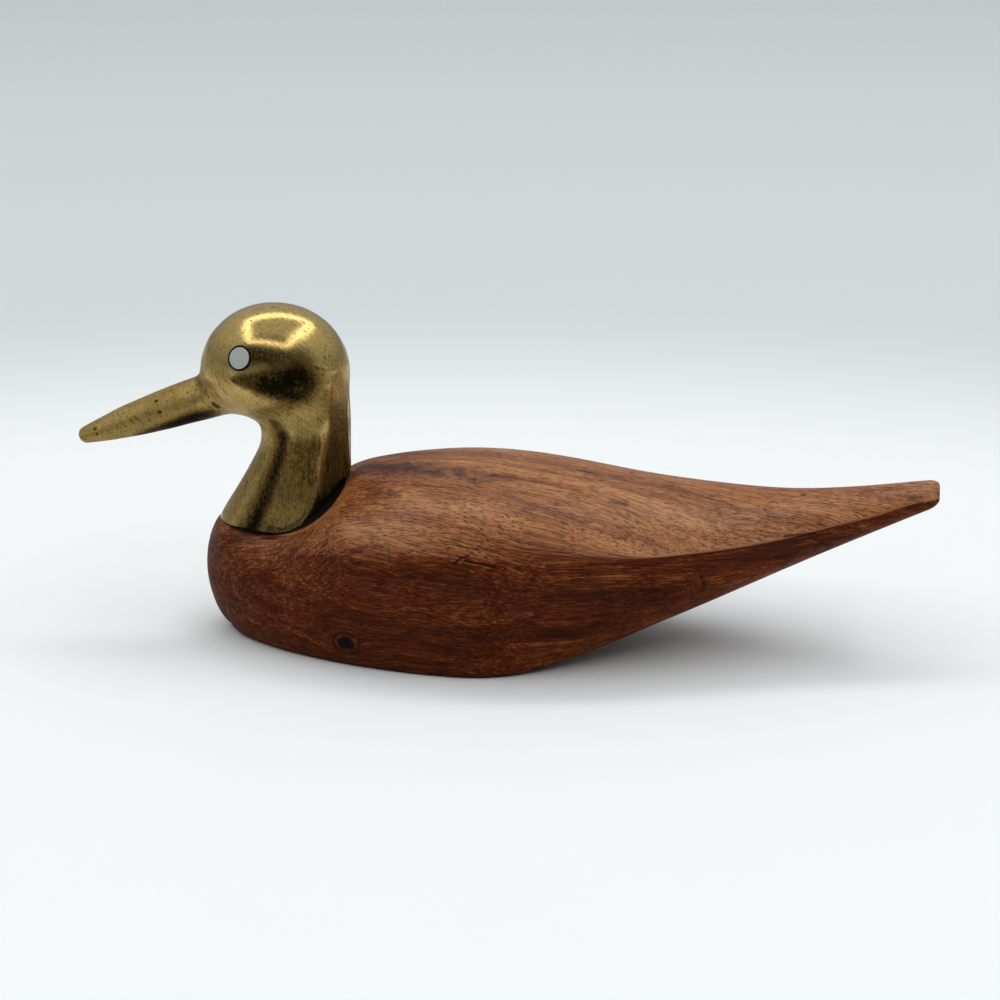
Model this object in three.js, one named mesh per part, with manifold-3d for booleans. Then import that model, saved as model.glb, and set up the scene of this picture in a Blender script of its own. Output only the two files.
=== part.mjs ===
// A carved hardwood duck with a cast brass head and shell eyes, held together by one screw from below.
// Millimetres, +Z up. The duck faces -X and stands on z = 0, with the origin under the middle of its length.
import * as THREE from "three";
import { mergeVertices } from "three/addons/utils/BufferGeometryUtils.js";
import Module from "manifold-3d";

const wasm = await Module();
wasm.setup();
const { degToRad, lerp, smoothstep } = THREE.MathUtils;

// Gap kept between pieces that touch
const GAP = 0.3;

// Wooden body in side view, as [x, z] points from the breast to the tail
const TAIL_TIP_X = 127;
const BREAST_X = -89.3;
const BREAST_Z = 19;
const PROW_X = -79.3;
const PROW_Z = 37.6;
const BACK_LINE = [
  [PROW_X, PROW_Z], [-70, 37.6], [-61.5, 38.3], [-54.5, 43], [-47.5, 48.2], [-38, 51.4], [-20, 53.6],
  [0, 54], [18, 52.6], [40, 49.6], [64, 47.7], [87, 47.4], [108, 49.6], [TAIL_TIP_X, 52.2],
];
const BASE_FRONT_X = -80.9;
const BASE_REAR_X = 0;
const BREAST_TURN = 1.65;
const KEEL_LINE = [
  [BASE_REAR_X, 0], [11, 0.5], [21, 2.2], [30, 4.3], [42, 8.2], [59, 14.9], [82, 25.3], [105, 35.7],
  [TAIL_TIP_X, 45.6],
];
const CREASE_LINE = [
  [BREAST_X, BREAST_Z], [-79, 19], [-61, 20.5], [-47, 24], [-28, 28.5], [-7, 32.5], [14, 35.2], [40, 36.3],
  [60, 36.9], [82, 38.9], [96.5, 41.7], [111.5, 45], [121.5, 48], [TAIL_TIP_X, 48.6],
];

// Wooden body in plan, as half-widths at the crease and at the flat base
const WIDEST_X = -7;
const HALF_WIDTH = 44.5;
const SIDE_LINE = [
  [WIDEST_X, HALF_WIDTH], [29.7, 39.5], [61.7, 28], [84.7, 19.2], [114.7, 9.8], [TAIL_TIP_X, 7.2],
];
const BASE_HALF_WIDTH = 39.8;
const BASE_LINE = [
  [WIDEST_X, BASE_HALF_WIDTH], [3, 38.2], [12, 34], [21, 28.4], [30, 22.4], [42, 15.2], [59, 9.4], [82, 5.6],
  [105, 3.5], [TAIL_TIP_X, 2.4],
];
const PROW_POWER = 1.65;
const SIDE_FULLNESS = 0.55;
const BASE_FULLNESS = 0.58;
const TAIL_TIP_ROUND = 3;
const TAIL_TIP_SHRINK = 0.55;

// How sharp the crease is: the top turns from an oval into a tent, and the flank rolls under by [x, degrees]
const TOP_TENT = { from: -20, to: 45, power: 0.85 };
const FLANK_ROLL = [
  [BREAST_X, 90], [-80, 86], [-62, 70], [-30, 66], [0, 68], [30, 80], [60, 84], [TAIL_TIP_X, 85],
];

// Seat for the neck, as [x, z] points along the middle: a level shelf that curves up to the shoulder,
// sawn a little askew, so that it lies further back on the -Y side by this much per millimetre
const SEAT_Z = 34;
const SEAT_LINE = [
  [-68, SEAT_Z], [-62.7, 35], [-56.2, 39], [-50.1, 44], [-45.2, 48.9], [-42.6, 52.4], [-40.4, 56],
];
const SEAT_SKEW = 0.14;
const SEAT_BEND_X = -61;
const SHOULDER_X = -40;

// Bed of black compound on the seat, which reaches out beside the neck by [x, half-width] on the slope
const BED_THICK = 0.4;
const BED_SLOPE = [[-57, 19], [-49, 19], [-46, 13]];

// Brass casting: a rounded head
const HEAD_X = -67.3;
const HEAD_Z = 79;
const HEAD_FRONT = 22.2;
const HEAD_REAR = 21.9;
const HEAD_UP = 20;
const HEAD_DOWN = 14.7;
const HEAD_HALF_WIDTH = 17.5;

// Brass casting: the neck, as [z, x] lines of its front and rear and a [z, half-width] line
const NECK_LOW_Z = 30;
const NECK_HIGH_Z = 79;
const THROAT_LINE = [
  [NECK_LOW_Z, -87], [34.6, -84.6], [41.6, -80.5], [47, -77.3], [52.7, -74.2], [56.5, -72.4], [60, -71.8],
  [63.5, -72.3], [66.5, -74.3], [69, -78.5], [NECK_HIGH_Z, -84],
];
const NAPE_LINE = [[NECK_LOW_Z, -45], [60, -45.1], [NECK_HIGH_Z, -45.5]];
const NECK_HALF_LINE = [
  [NECK_LOW_Z, 18.8], [36, 17.5], [44, 15.3], [54, 13.4], [62, 13], [68, 12.4], [75, 10], [NECK_HIGH_Z, 8.5],
];
const NECK_REAR_POWER = 2.5;
const NECK_GROOVE = { turn: 62, spread: 14, depth: 0.07 };

// Brass casting: flat panels behind the neck, by how far each falls away per millimetre, as [z, fall]
const PANEL_FALL = [[NECK_LOW_Z, 0.84], [38, 0.78], [44, 0.7], [55, 0.57], [61, 0.5], [NECK_HIGH_Z, 0.58]];
const NAPE_HALF = 1.5;

// Brass casting: the bill, from its root inside the head to its tip, with half-sizes along it
const BILL_ROOT = [-84, 71.8];
const BILL_TIP = [-126.2, 57];
const BILL_HALF_HEIGHTS = [[0, 6.7], [0.15, 6.4], [0.43, 5.7], [0.72, 4.3], [0.87, 3.2], [1, 2.1]];
const BILL_HALF_WIDTHS = [[0, 8.6], [0.3, 8.3], [0.6, 7.6], [0.85, 6.6], [1, 5.4]];

// Shell eyes set in black compound
const EYE_X = -75;
const EYE_Z = 86.2;
const EYE_RADIUS = 3.2;
const EYE_THICK = 2;
const EYE_BEVEL = 0.25;
const EYE_FLOOR = 0.6;
const EYE_RING = 0.34;
const EYE_GAP = 0.12;
const EYE_PROUD = 0.1;

// Screw and washer, in a counterbore under the base
const SCREW_X = -65;
const SCREW_RADIUS = 2.5;
const SCREW_TOP_Z = 48;
const SCREW_HEAD_RADIUS = 4.6;
const SCREW_HEAD_LOW_Z = 1.6;
const SCREW_HEAD_HIGH_Z = 4.4;
const SCREW_DOME = { rise: 1, flat: 3.2 };
const SCREW_POINT = 1.9;
const SLOT_WIDE = 1.2;
const SLOT_DEEP = 1.1;
const WASHER_RADIUS = 5.4;
const WASHER_THICK = 1;
const COUNTERBORE_RADIUS = 6;
const COUNTERBORE_TOP_Z = 6;
const BLIND_HOLE_Z = 50;
const ROUND_SIDES = 32;

// A cubic spline through hand-set [position, value] points, with the slope at each end
function spline(points, startSlope, endSlope) {
  const last = points.length - 1;
  const span = (i) => points[i + 1][0] - points[i][0];
  const rise = (i) => (points[i + 1][1] - points[i][1]) / span(i);
  const slopes = [startSlope ?? rise(0)];
  const upper = [0];
  for (let i = 1; i < last; i++) {
    const before = 1 / span(i - 1);
    const after = 1 / span(i);
    const pivot = 2 * (before + after) - before * upper[i - 1];
    upper.push(after / pivot);
    slopes.push((3 * (rise(i - 1) * before + rise(i) * after) - before * slopes[i - 1]) / pivot);
  }
  slopes.push(endSlope ?? rise(last - 1));
  for (let i = last - 1; i > 0; i--) slopes[i] -= upper[i] * slopes[i + 1];
  return (position) => {
    let i = 0;
    while (i < last - 1 && position > points[i + 1][0]) i++;
    const t = THREE.MathUtils.clamp((position - points[i][0]) / span(i), 0, 1);
    const s = 1 - t;
    const value = points[i][1] * s * s * (1 + 2 * t) + points[i + 1][1] * t * t * (1 + 2 * s);
    return value + span(i) * t * s * (slopes[i] * s - slopes[i + 1] * t);
  };
}

// Skins a stack of rings that turn from +Z to +Y (or from -X to +Y) and closes both ends at their middle
function loft(rings) {
  const count = rings[0].length;
  const points = rings.flat();
  const faces = [];
  const at = (ring, i) => ring * count + (i % count);
  for (let r = 0; r + 1 < rings.length; r++) {
    for (let i = 0; i < count; i++) {
      faces.push(at(r, i), at(r + 1, i + 1), at(r, i + 1));
      faces.push(at(r, i), at(r + 1, i), at(r + 1, i + 1));
    }
  }
  for (const r of [0, rings.length - 1]) {
    points.push(rings[r].reduce((sum, p) => sum.add(p), new THREE.Vector3()).divideScalar(count));
    for (let i = 0; i < count; i++) {
      const pair = r === 0 ? [at(r, i), at(r, i + 1)] : [at(r, i + 1), at(r, i)];
      faces.push(points.length - 1, ...pair);
    }
  }
  const geometry = new THREE.BufferGeometry().setFromPoints(points);
  geometry.setIndex(faces);
  return geometry;
}

// A closed geometry as a solid that can be joined and cut
function solid(geometry) {
  const bare = geometry.clone();
  bare.deleteAttribute("normal");
  bare.deleteAttribute("uv");
  const merged = mergeVertices(bare, 1e-4);
  const vertProperties = new Float32Array(merged.attributes.position.array);
  const triVerts = new Uint32Array(merged.index.array);
  return new wasm.Manifold(new wasm.Mesh({ numProp: 3, vertProperties, triVerts }));
}

// The geometry of a finished solid
function geometryOf(made) {
  const mesh = made.getMesh();
  const geometry = new THREE.BufferGeometry();
  geometry.setAttribute("position", new THREE.BufferAttribute(new Float32Array(mesh.vertProperties), 3));
  geometry.setIndex(new THREE.BufferAttribute(new Uint32Array(mesh.triVerts), 1));
  geometry.computeVertexNormals();
  return geometry;
}

// A round solid about +Z from a profile of [radius, height] points, lowest first
function turned(profile) {
  const points = profile.map(([radius, height]) => new THREE.Vector2(radius, height));
  return new THREE.LatheGeometry(points, ROUND_SIDES).rotateX(Math.PI / 2);
}

const cylinder = (radius, low, high) => turned([[0, low], [radius, low], [radius, high], [0, high]]);

// An outline in the XZ plane carried across the whole width of the duck
function acrossWidth(outline) {
  const depth = 4 * HALF_WIDTH;
  const shape = new THREE.Shape(outline.map(([x, z]) => new THREE.Vector2(x, z)));
  return new THREE.ExtrudeGeometry(shape, { depth, bevelEnabled: false })
    .rotateX(Math.PI / 2)
    .translate(0, depth / 2, 0);
}

const backLine = spline(BACK_LINE, 0);
const keelLine = spline(KEEL_LINE, 0);
const creaseLine = spline(CREASE_LINE);
const sideLine = spline(SIDE_LINE, 0);
const baseLine = spline(BASE_LINE, 0);
const flankRoll = spline(FLANK_ROLL);

// The numbers of one cross-section of the body
function bodySection(x) {
  const prowShare = Math.max(0, (PROW_X - x) / (PROW_X - BREAST_X));
  const sideShare = Math.max(0, (WIDEST_X - x) / (WIDEST_X - BREAST_X));
  const baseShare = Math.max(0, (WIDEST_X - x) / (WIDEST_X - BASE_FRONT_X));
  const breastShare = Math.max(0, (BASE_FRONT_X - x) / (BASE_FRONT_X - BREAST_X));
  const breastRise = BREAST_Z * (1 - (1 - breastShare ** BREAST_TURN) ** (1 / BREAST_TURN));
  const sideFront = HALF_WIDTH * (1 - sideShare ** PROW_POWER) ** SIDE_FULLNESS;
  const baseFront = BASE_HALF_WIDTH * Math.max(0, 1 - baseShare ** PROW_POWER) ** BASE_FULLNESS;
  return {
    x,
    top: x < PROW_X ? lerp(BREAST_Z, PROW_Z, Math.sqrt(1 - prowShare ** 2)) : backLine(x),
    crease: creaseLine(x),
    keel: x < BASE_REAR_X ? breastRise : keelLine(x),
    side: x < WIDEST_X ? sideFront : sideLine(x),
    base: x < WIDEST_X ? baseFront : baseLine(x),
    tent: 1 + TOP_TENT.power * smoothstep(x, TOP_TENT.from, TOP_TENT.to),
    roll: degToRad(flankRoll(x)),
  };
}

// One closed ring of the body: over the top, down the +Y flank, under the base and up the other side
function bodyRing(section, shrink = 1) {
  const TOP_STEPS = 14;
  const FLANK_STEPS = 8;
  const BASE_STEPS = 2;
  const { x, top, crease, keel, side, base, tent, roll } = section;
  const half = [];
  for (let i = 0; i <= TOP_STEPS; i++) {
    const turn = (i / TOP_STEPS) * (Math.PI / 2);
    half.push([side * Math.sin(turn), lerp(crease, top, Math.cos(turn) ** tent)]);
  }
  for (let i = 1; i <= FLANK_STEPS; i++) {
    const turn = (i / FLANK_STEPS) * roll;
    const inward = (1 - Math.cos(turn)) / (1 - Math.cos(roll));
    half.push([lerp(side, base, inward), lerp(crease, keel, Math.sin(turn) / Math.sin(roll))]);
  }
  for (let i = 1; i <= BASE_STEPS; i++) half.push([base * (1 - i / BASE_STEPS), keel]);
  const mirrored = half.slice(1, -1).reverse().map(([y, z]) => [-y, z]);
  return [...half, ...mirrored].map(
    ([y, z]) => new THREE.Vector3(x, y * shrink, lerp(crease, z, shrink)),
  );
}

// The uncut body, with its stations closer together at the breast and the seat, and a rounded tail tip
function bodyForm() {
  const BREAST_STATIONS = 11;
  const SEAT_STATIONS = 12;
  const REAR_STATIONS = 23;
  const end = TAIL_TIP_X - TAIL_TIP_ROUND;
  const stations = [];
  for (let i = 1; i <= BREAST_STATIONS; i++) {
    stations.push(lerp(BREAST_X, SEAT_BEND_X, (i / BREAST_STATIONS) ** 2));
  }
  for (let i = 1; i <= SEAT_STATIONS; i++) stations.push(lerp(SEAT_BEND_X, SHOULDER_X, i / SEAT_STATIONS));
  for (let i = 1; i <= REAR_STATIONS; i++) stations.push(lerp(SHOULDER_X, end, i / REAR_STATIONS));
  const rings = stations.map((x) => bodyRing(bodySection(x)));
  for (const degrees of [40, 70, 90]) {
    const turn = degToRad(degrees);
    const section = bodySection(end + TAIL_TIP_ROUND * Math.sin(turn));
    rings.push(bodyRing(section, lerp(TAIL_TIP_SHRINK, 1, Math.cos(turn))));
  }
  return solid(loft(rings));
}

const seatLine = spline(SEAT_LINE, 0);

// Everything above the seat, raised by a lift square to it, as an outline in side view
function seatOutline(lift) {
  const STEPS = 20;
  const STEP = 0.01;
  const far = 4 * HALF_WIDTH;
  const [start, end] = [SEAT_LINE[0][0], SEAT_LINE.at(-1)[0]];
  const outline = [[-far, SEAT_Z + lift]];
  for (let i = 0; i <= STEPS; i++) {
    const x = lerp(start, end, i / STEPS);
    const slope = Math.atan2(seatLine(x + STEP) - seatLine(x - STEP), 2 * STEP);
    outline.push([x - lift * Math.sin(slope), seatLine(x) + lift * Math.cos(slope)]);
  }
  outline.push([outline.at(-1)[0], far], [-far, far]);
  return outline;
}

const skewed = new THREE.Matrix4().makeShear(0, 0, -SEAT_SKEW, 0, 0, 0);
const aboveSeat = (lift) => solid(acrossWidth(seatOutline(lift)).applyMatrix4(skewed));
const SOLE_LIFT = GAP + BED_THICK + GAP;

// The head: an oval ball with its own reach to the front, the rear, up and down
function headForm() {
  const SIDES = 32;
  const LEVELS = 22;
  const ball = new THREE.SphereGeometry(1, SIDES, LEVELS);
  const points = ball.attributes.position;
  for (let i = 0; i < points.count; i++) {
    const [forward, rise, across] = [points.getX(i), points.getY(i), points.getZ(i)];
    const x = HEAD_X + forward * (forward < 0 ? HEAD_FRONT : HEAD_REAR);
    const z = HEAD_Z + rise * (rise < 0 ? HEAD_DOWN : HEAD_UP);
    points.setXYZ(i, x, -across * HEAD_HALF_WIDTH, z);
  }
  return solid(ball);
}

const throatLine = spline(THROAT_LINE);
const napeLine = spline(NAPE_LINE);
const neckHalfLine = spline(NECK_HALF_LINE);
const panelFall = spline(PANEL_FALL);
const bell = (turn, at, spread) => Math.exp(-(((turn - degToRad(at)) / degToRad(spread)) ** 2));

// One ring of the neck: a round front, a shallow groove, full sides and two flat panels that meet at the nape
function neckRing(z) {
  const SIDES = 48;
  const middle = (throatLine(z) + napeLine(z)) / 2;
  const reach = (napeLine(z) - throatLine(z)) / 2;
  const ring = [];
  for (let i = 0; i < SIDES; i++) {
    const angle = (i / SIDES) * 2 * Math.PI;
    const power = Math.cos(angle) < 0 ? 2 / NECK_REAR_POWER : 1;
    const along = Math.sign(Math.cos(angle)) * Math.abs(Math.cos(angle)) ** power;
    const across = Math.sign(Math.sin(angle)) * Math.abs(Math.sin(angle)) ** power;
    const turn = Math.acos(Math.cos(angle));
    const swell = 1 - NECK_GROOVE.depth * bell(turn, NECK_GROOVE.turn, NECK_GROOVE.spread);
    const x = middle - along * reach * swell;
    const y = across * neckHalfLine(z) * swell;
    const panelX = napeLine(z) - panelFall(z) * Math.max(0, Math.abs(y) - NAPE_HALF);
    ring.push(new THREE.Vector3(Math.min(x, panelX), y, z));
  }
  return ring;
}

// The neck from inside the head down to its sole, which is cut to the shape of the seat
function neckForm() {
  const LEVELS = 19;
  const rings = [];
  for (let k = 0; k <= LEVELS; k++) rings.push(neckRing(lerp(NECK_LOW_Z, NECK_HIGH_Z, k / LEVELS)));
  return solid(loft(rings)).intersect(aboveSeat(SOLE_LIFT));
}

// The bill: oval rings along a straight line, flatter and narrower towards the tip
function billForm() {
  const RINGS = 13;
  const SIDES = 24;
  const heights = spline(BILL_HALF_HEIGHTS);
  const widths = spline(BILL_HALF_WIDTHS);
  const root = new THREE.Vector3(BILL_ROOT[0], 0, BILL_ROOT[1]);
  const along = new THREE.Vector3(BILL_TIP[0], 0, BILL_TIP[1]).sub(root);
  const up = new THREE.Vector3(0, 1, 0).cross(along).normalize();
  const rings = [];
  for (let k = 0; k <= RINGS; k++) {
    const ring = [];
    for (let i = 0; i < SIDES; i++) {
      const angle = (i / SIDES) * 2 * Math.PI;
      const point = root.clone().addScaledVector(along, k / RINGS);
      point.addScaledVector(up, heights(k / RINGS) * Math.cos(angle));
      point.y -= widths(k / RINGS) * Math.sin(angle);
      ring.push(point);
    }
    rings.push(ring);
  }
  return solid(loft(rings));
}

// A frame on the surface of the head, with +Z pointing straight out of the eye
function eyeFrame(side) {
  const share = [(EYE_X - HEAD_X) / HEAD_FRONT, (EYE_Z - HEAD_Z) / HEAD_UP];
  const across = side * Math.sqrt(1 - share[0] ** 2 - share[1] ** 2);
  const normal = new THREE.Vector3(share[0] / HEAD_FRONT, across / HEAD_HALF_WIDTH, share[1] / HEAD_UP);
  const frame = new THREE.Group();
  frame.position.set(EYE_X, across * HEAD_HALF_WIDTH, EYE_Z);
  frame.quaternion.setFromUnitVectors(new THREE.Vector3(0, 0, 1), normal.normalize());
  frame.updateMatrix();
  return frame;
}

const EYE_LOW = EYE_PROUD - EYE_THICK;
const CUP_INNER = EYE_RADIUS + EYE_GAP;
const CUP_OUTER = CUP_INNER + EYE_RING;
const CUP_LOW = EYE_LOW - EYE_GAP - EYE_FLOOR;
const CUP_RIM = -EYE_BEVEL;

// A flat shell disc with a narrow bevel
function eyeDisc() {
  const bevelled = EYE_RADIUS - EYE_BEVEL;
  return turned([[0, EYE_LOW], [EYE_RADIUS, EYE_LOW], [EYE_RADIUS, EYE_PROUD - EYE_BEVEL],
    [bevelled, EYE_PROUD], [0, EYE_PROUD]]);
}

// The compound under and around a disc, filling its socket
function eyeCup() {
  const floor = EYE_LOW - EYE_GAP;
  return turned([[0, CUP_LOW], [CUP_OUTER, CUP_LOW], [CUP_OUTER, CUP_RIM], [CUP_INNER, CUP_RIM],
    [CUP_INNER, floor], [0, floor]]);
}

// The round recess cut into the head for one eye
function eyeSocket(frame) {
  return solid(cylinder(CUP_OUTER + EYE_GAP, CUP_LOW - EYE_GAP, EYE_THICK).applyMatrix4(frame.matrix));
}

// Bores for the screw, standing on the screw's own line
const bore = (radius, low, high) => solid(cylinder(radius, low, high).translate(SCREW_X, 0, 0));

// The carved body, sawn for the neck and bored from below
function woodBody() {
  const counterbore = bore(COUNTERBORE_RADIUS, -COUNTERBORE_TOP_Z, COUNTERBORE_TOP_Z);
  return bodyForm()
    .subtract(aboveSeat(0))
    .subtract(bore(SCREW_RADIUS + GAP, 0, SCREW_TOP_Z))
    .subtract(counterbore);
}

// The casting: head, neck and bill in one, with two eye sockets and a blind hole for the screw
function brassHead(eyeFrames) {
  const casting = headForm()
    .add(neckForm())
    .add(billForm())
    .subtract(bore(SCREW_RADIUS + GAP, 0, BLIND_HOLE_Z));
  return eyeFrames.reduce((made, frame) => made.subtract(eyeSocket(frame)), casting);
}

// The black bed between wood and brass: under the neck in front, out to the rim of the seat on the slope
function neckBed() {
  const front = SEAT_BEND_X - throatLine(SEAT_Z + SOLE_LIFT) - GAP;
  const half = neckHalfLine(SEAT_Z + SOLE_LIFT) - GAP;
  const plan = new THREE.Shape();
  plan.absellipse(SEAT_BEND_X, 0, front, half, Math.PI / 2, 1.5 * Math.PI);
  for (const [x, reach] of BED_SLOPE) plan.lineTo(x + SEAT_SKEW * reach, -reach);
  for (const [x, reach] of BED_SLOPE.toReversed()) plan.lineTo(x - SEAT_SKEW * reach, reach);
  const patch = new THREE.ExtrudeGeometry(plan, { depth: HEAD_Z, bevelEnabled: false, curveSegments: 12 });
  return solid(patch)
    .intersect(aboveSeat(GAP))
    .subtract(aboveSeat(GAP + BED_THICK))
    .subtract(bore(SCREW_RADIUS + GAP, 0, SCREW_TOP_Z));
}

// A slotted screw with a domed head, pointing up
function neckScrew() {
  const domed = SCREW_HEAD_LOW_Z + SCREW_DOME.rise;
  const screw = turned([[0, SCREW_HEAD_LOW_Z], [SCREW_DOME.flat, SCREW_HEAD_LOW_Z],
    [SCREW_HEAD_RADIUS, domed], [SCREW_HEAD_RADIUS, SCREW_HEAD_HIGH_Z], [SCREW_RADIUS, SCREW_HEAD_HIGH_Z],
    [SCREW_RADIUS, SCREW_TOP_Z - SCREW_POINT], [SCREW_POINT, SCREW_TOP_Z], [0, SCREW_TOP_Z]]);
  const slot = new THREE.BoxGeometry(4 * SCREW_HEAD_RADIUS, SLOT_WIDE, 2 * SLOT_DEEP)
    .translate(0, 0, SCREW_HEAD_LOW_Z);
  return solid(screw).subtract(solid(slot));
}

// A plain washer above the screw's head
function neckWasher() {
  const inner = SCREW_RADIUS + GAP;
  const low = SCREW_HEAD_HIGH_Z + GAP;
  const high = low + WASHER_THICK;
  return turned([[inner, low], [WASHER_RADIUS, low], [WASHER_RADIUS, high], [inner, high], [inner, low]]);
}

// Finishes of the pieces
const oiledWood = () => new THREE.MeshStandardMaterial({ color: 0x7a4526, roughness: 0.5, metalness: 0 });
const agedBrass = () => new THREE.MeshStandardMaterial({ color: 0xa98544, roughness: 0.35, metalness: 1 });
const whiteShell = () => new THREE.MeshStandardMaterial({ color: 0xd9dbd6, roughness: 0.25, metalness: 0 });
const blackCompound = () => new THREE.MeshStandardMaterial({ color: 0x17130f, roughness: 0.7, metalness: 0 });
const platedSteel = () => new THREE.MeshStandardMaterial({ color: 0x8e8e88, roughness: 0.4, metalness: 1 });

// One named piece of the duck
function piece(name, geometry, finish) {
  const mesh = new THREE.Mesh(geometry, finish);
  mesh.name = name;
  return mesh;
}

const duck = new THREE.Group();
const eyeFrames = { left: eyeFrame(-1), right: eyeFrame(1) };
duck.add(piece("wood_body", geometryOf(woodBody()), oiledWood()));
duck.add(piece("brass_head", geometryOf(brassHead(Object.values(eyeFrames))), agedBrass()));
duck.add(piece("neck_bedding", geometryOf(neckBed()), blackCompound()));
for (const [side, frame] of Object.entries(eyeFrames)) {
  frame.add(piece(`eye_${side}`, eyeDisc(), whiteShell()));
  frame.add(piece(`eye_bedding_${side}`, eyeCup(), blackCompound()));
  duck.add(frame);
}
const fixing = new THREE.Group();
fixing.position.x = SCREW_X;
fixing.add(piece("neck_screw", geometryOf(neckScrew()), platedSteel()));
fixing.add(piece("neck_washer", neckWasher(), platedSteel()));
duck.add(fixing);

export default duck;
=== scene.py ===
"""A carved hardwood duck with a cast brass head: its fine meshes, their finishes and a plain studio.

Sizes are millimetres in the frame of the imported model, where the duck faces -X and stands on z = 0.
Meshes are made in metres.
"""

import logging
import math
from collections.abc import Callable, Sequence
from dataclasses import dataclass
from enum import Enum
from typing import Any

import bmesh
import bpy
import numpy as np
from mathutils import Matrix, Vector


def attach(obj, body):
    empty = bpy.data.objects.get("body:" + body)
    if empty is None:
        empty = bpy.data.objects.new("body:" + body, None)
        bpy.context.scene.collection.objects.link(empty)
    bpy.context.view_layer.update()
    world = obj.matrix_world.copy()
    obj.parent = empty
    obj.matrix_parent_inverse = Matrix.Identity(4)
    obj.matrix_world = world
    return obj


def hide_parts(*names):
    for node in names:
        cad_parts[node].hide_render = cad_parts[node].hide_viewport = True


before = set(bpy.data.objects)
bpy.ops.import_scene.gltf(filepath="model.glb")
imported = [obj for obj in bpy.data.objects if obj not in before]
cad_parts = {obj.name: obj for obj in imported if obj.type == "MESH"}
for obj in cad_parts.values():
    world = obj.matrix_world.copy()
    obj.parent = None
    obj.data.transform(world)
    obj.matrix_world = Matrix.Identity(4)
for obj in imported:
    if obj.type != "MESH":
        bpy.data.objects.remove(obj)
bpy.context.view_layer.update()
log = logging.getLogger("duck")

MM = 0.001
TINY = 1e-6
BODY = "root"
Pair = tuple[float, float]
Pairs = tuple[Pair, ...]
Point = tuple[float, float, float]
Colour = tuple[float, float, float]
Numbers = np.ndarray | float
Field = Callable[[np.ndarray], np.ndarray]
Piece = bpy.types.Object
Material = bpy.types.Material
Tree = bpy.types.NodeTree
Socket = bpy.types.NodeSocket
Value = Socket | float | Sequence[float]
Inputs = dict[str | int, Value]


class Slot(Enum):
    """The material slots, whose names the finishes take."""

    WOOD = "oiled_wood"
    BRASS = "aged_brass"
    SHELL = "white_shell"
    COMPOUND = "black_compound"
    STEEL = "plated_steel"


class Side(Enum):
    """The two sides of the duck, as the sign of Y."""

    LEFT = -1
    RIGHT = 1

    @property
    def word(self) -> str:
        """The side's name as the nodes have it."""
        return self.name.lower()


# Curves, fields and meshes


class Spline:
    """A cubic spline through given (position, value) points, held level beyond its ends."""

    def __init__(self, points: Pairs, start_slope: float | None = None) -> None:
        """Solves the slopes at the points.

        Args:
            points: (position, value) pairs in rising order.
            start_slope: slope at the first point, or None for that of the first chord.
        """
        self.at, self.value = np.array(points, float).T
        gap = np.diff(self.at)
        rise = np.diff(self.value) / gap
        count = len(points)
        system = np.eye(count)
        wanted = np.zeros(count)
        wanted[0] = rise[0] if start_slope is None else start_slope
        wanted[-1] = rise[-1]
        for i in range(1, count - 1):
            before, after = 1 / gap[i - 1], 1 / gap[i]
            system[i, i - 1 : i + 2] = before, 2 * (before + after), after
            wanted[i] = 3 * (rise[i - 1] * before + rise[i] * after)
        self.slope = np.linalg.solve(system, wanted)

    def __call__(self, position: Numbers) -> np.ndarray:
        """Reads the curve.

        Args:
            position: one place or many along the curve.

        Returns:
            The curve's values there.
        """
        place = np.clip(position, self.at[0], self.at[-1])
        i = np.clip(np.searchsorted(self.at, place) - 1, 0, len(self.at) - 2)
        gap = self.at[i + 1] - self.at[i]
        t = (place - self.at[i]) / gap
        s = 1 - t
        value = self.value[i] * s * s * (1 + 2 * t) + self.value[i + 1] * t * t * (1 + 2 * s)
        return value + gap * t * s * (self.slope[i] * s - self.slope[i + 1] * t)


def lerp(a: Any, b: Any, share: Any) -> Any:
    """The value that lies at a share of the way from a to b."""
    return a + (b - a) * share


def ease(value: Numbers, low: Numbers, high: Numbers) -> np.ndarray:
    """A smooth step from 0 at low to 1 at high, which may lie below low."""
    t = np.clip((value - low) / (high - low), 0, 1)
    return t * t * (3 - 2 * t)


def fade(value: Numbers, low: Numbers, high: Numbers) -> np.ndarray:
    """A smooth step from 1 at low to 0 at high."""
    return 1 - ease(value, low, high)


def soft_join(a: np.ndarray, b: np.ndarray, radius: Numbers) -> np.ndarray:
    """Joins two fields of distances, which are negative inside, with a fillet of a radius."""
    share = np.maximum(radius - np.abs(a - b), 0) / radius
    return np.minimum(a, b) - share * share * radius / 4


def to_right(points: np.ndarray) -> np.ndarray:
    """The points, with those of the left side mirrored onto the right side."""
    return np.where([False, True, False], np.abs(points), points)


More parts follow.
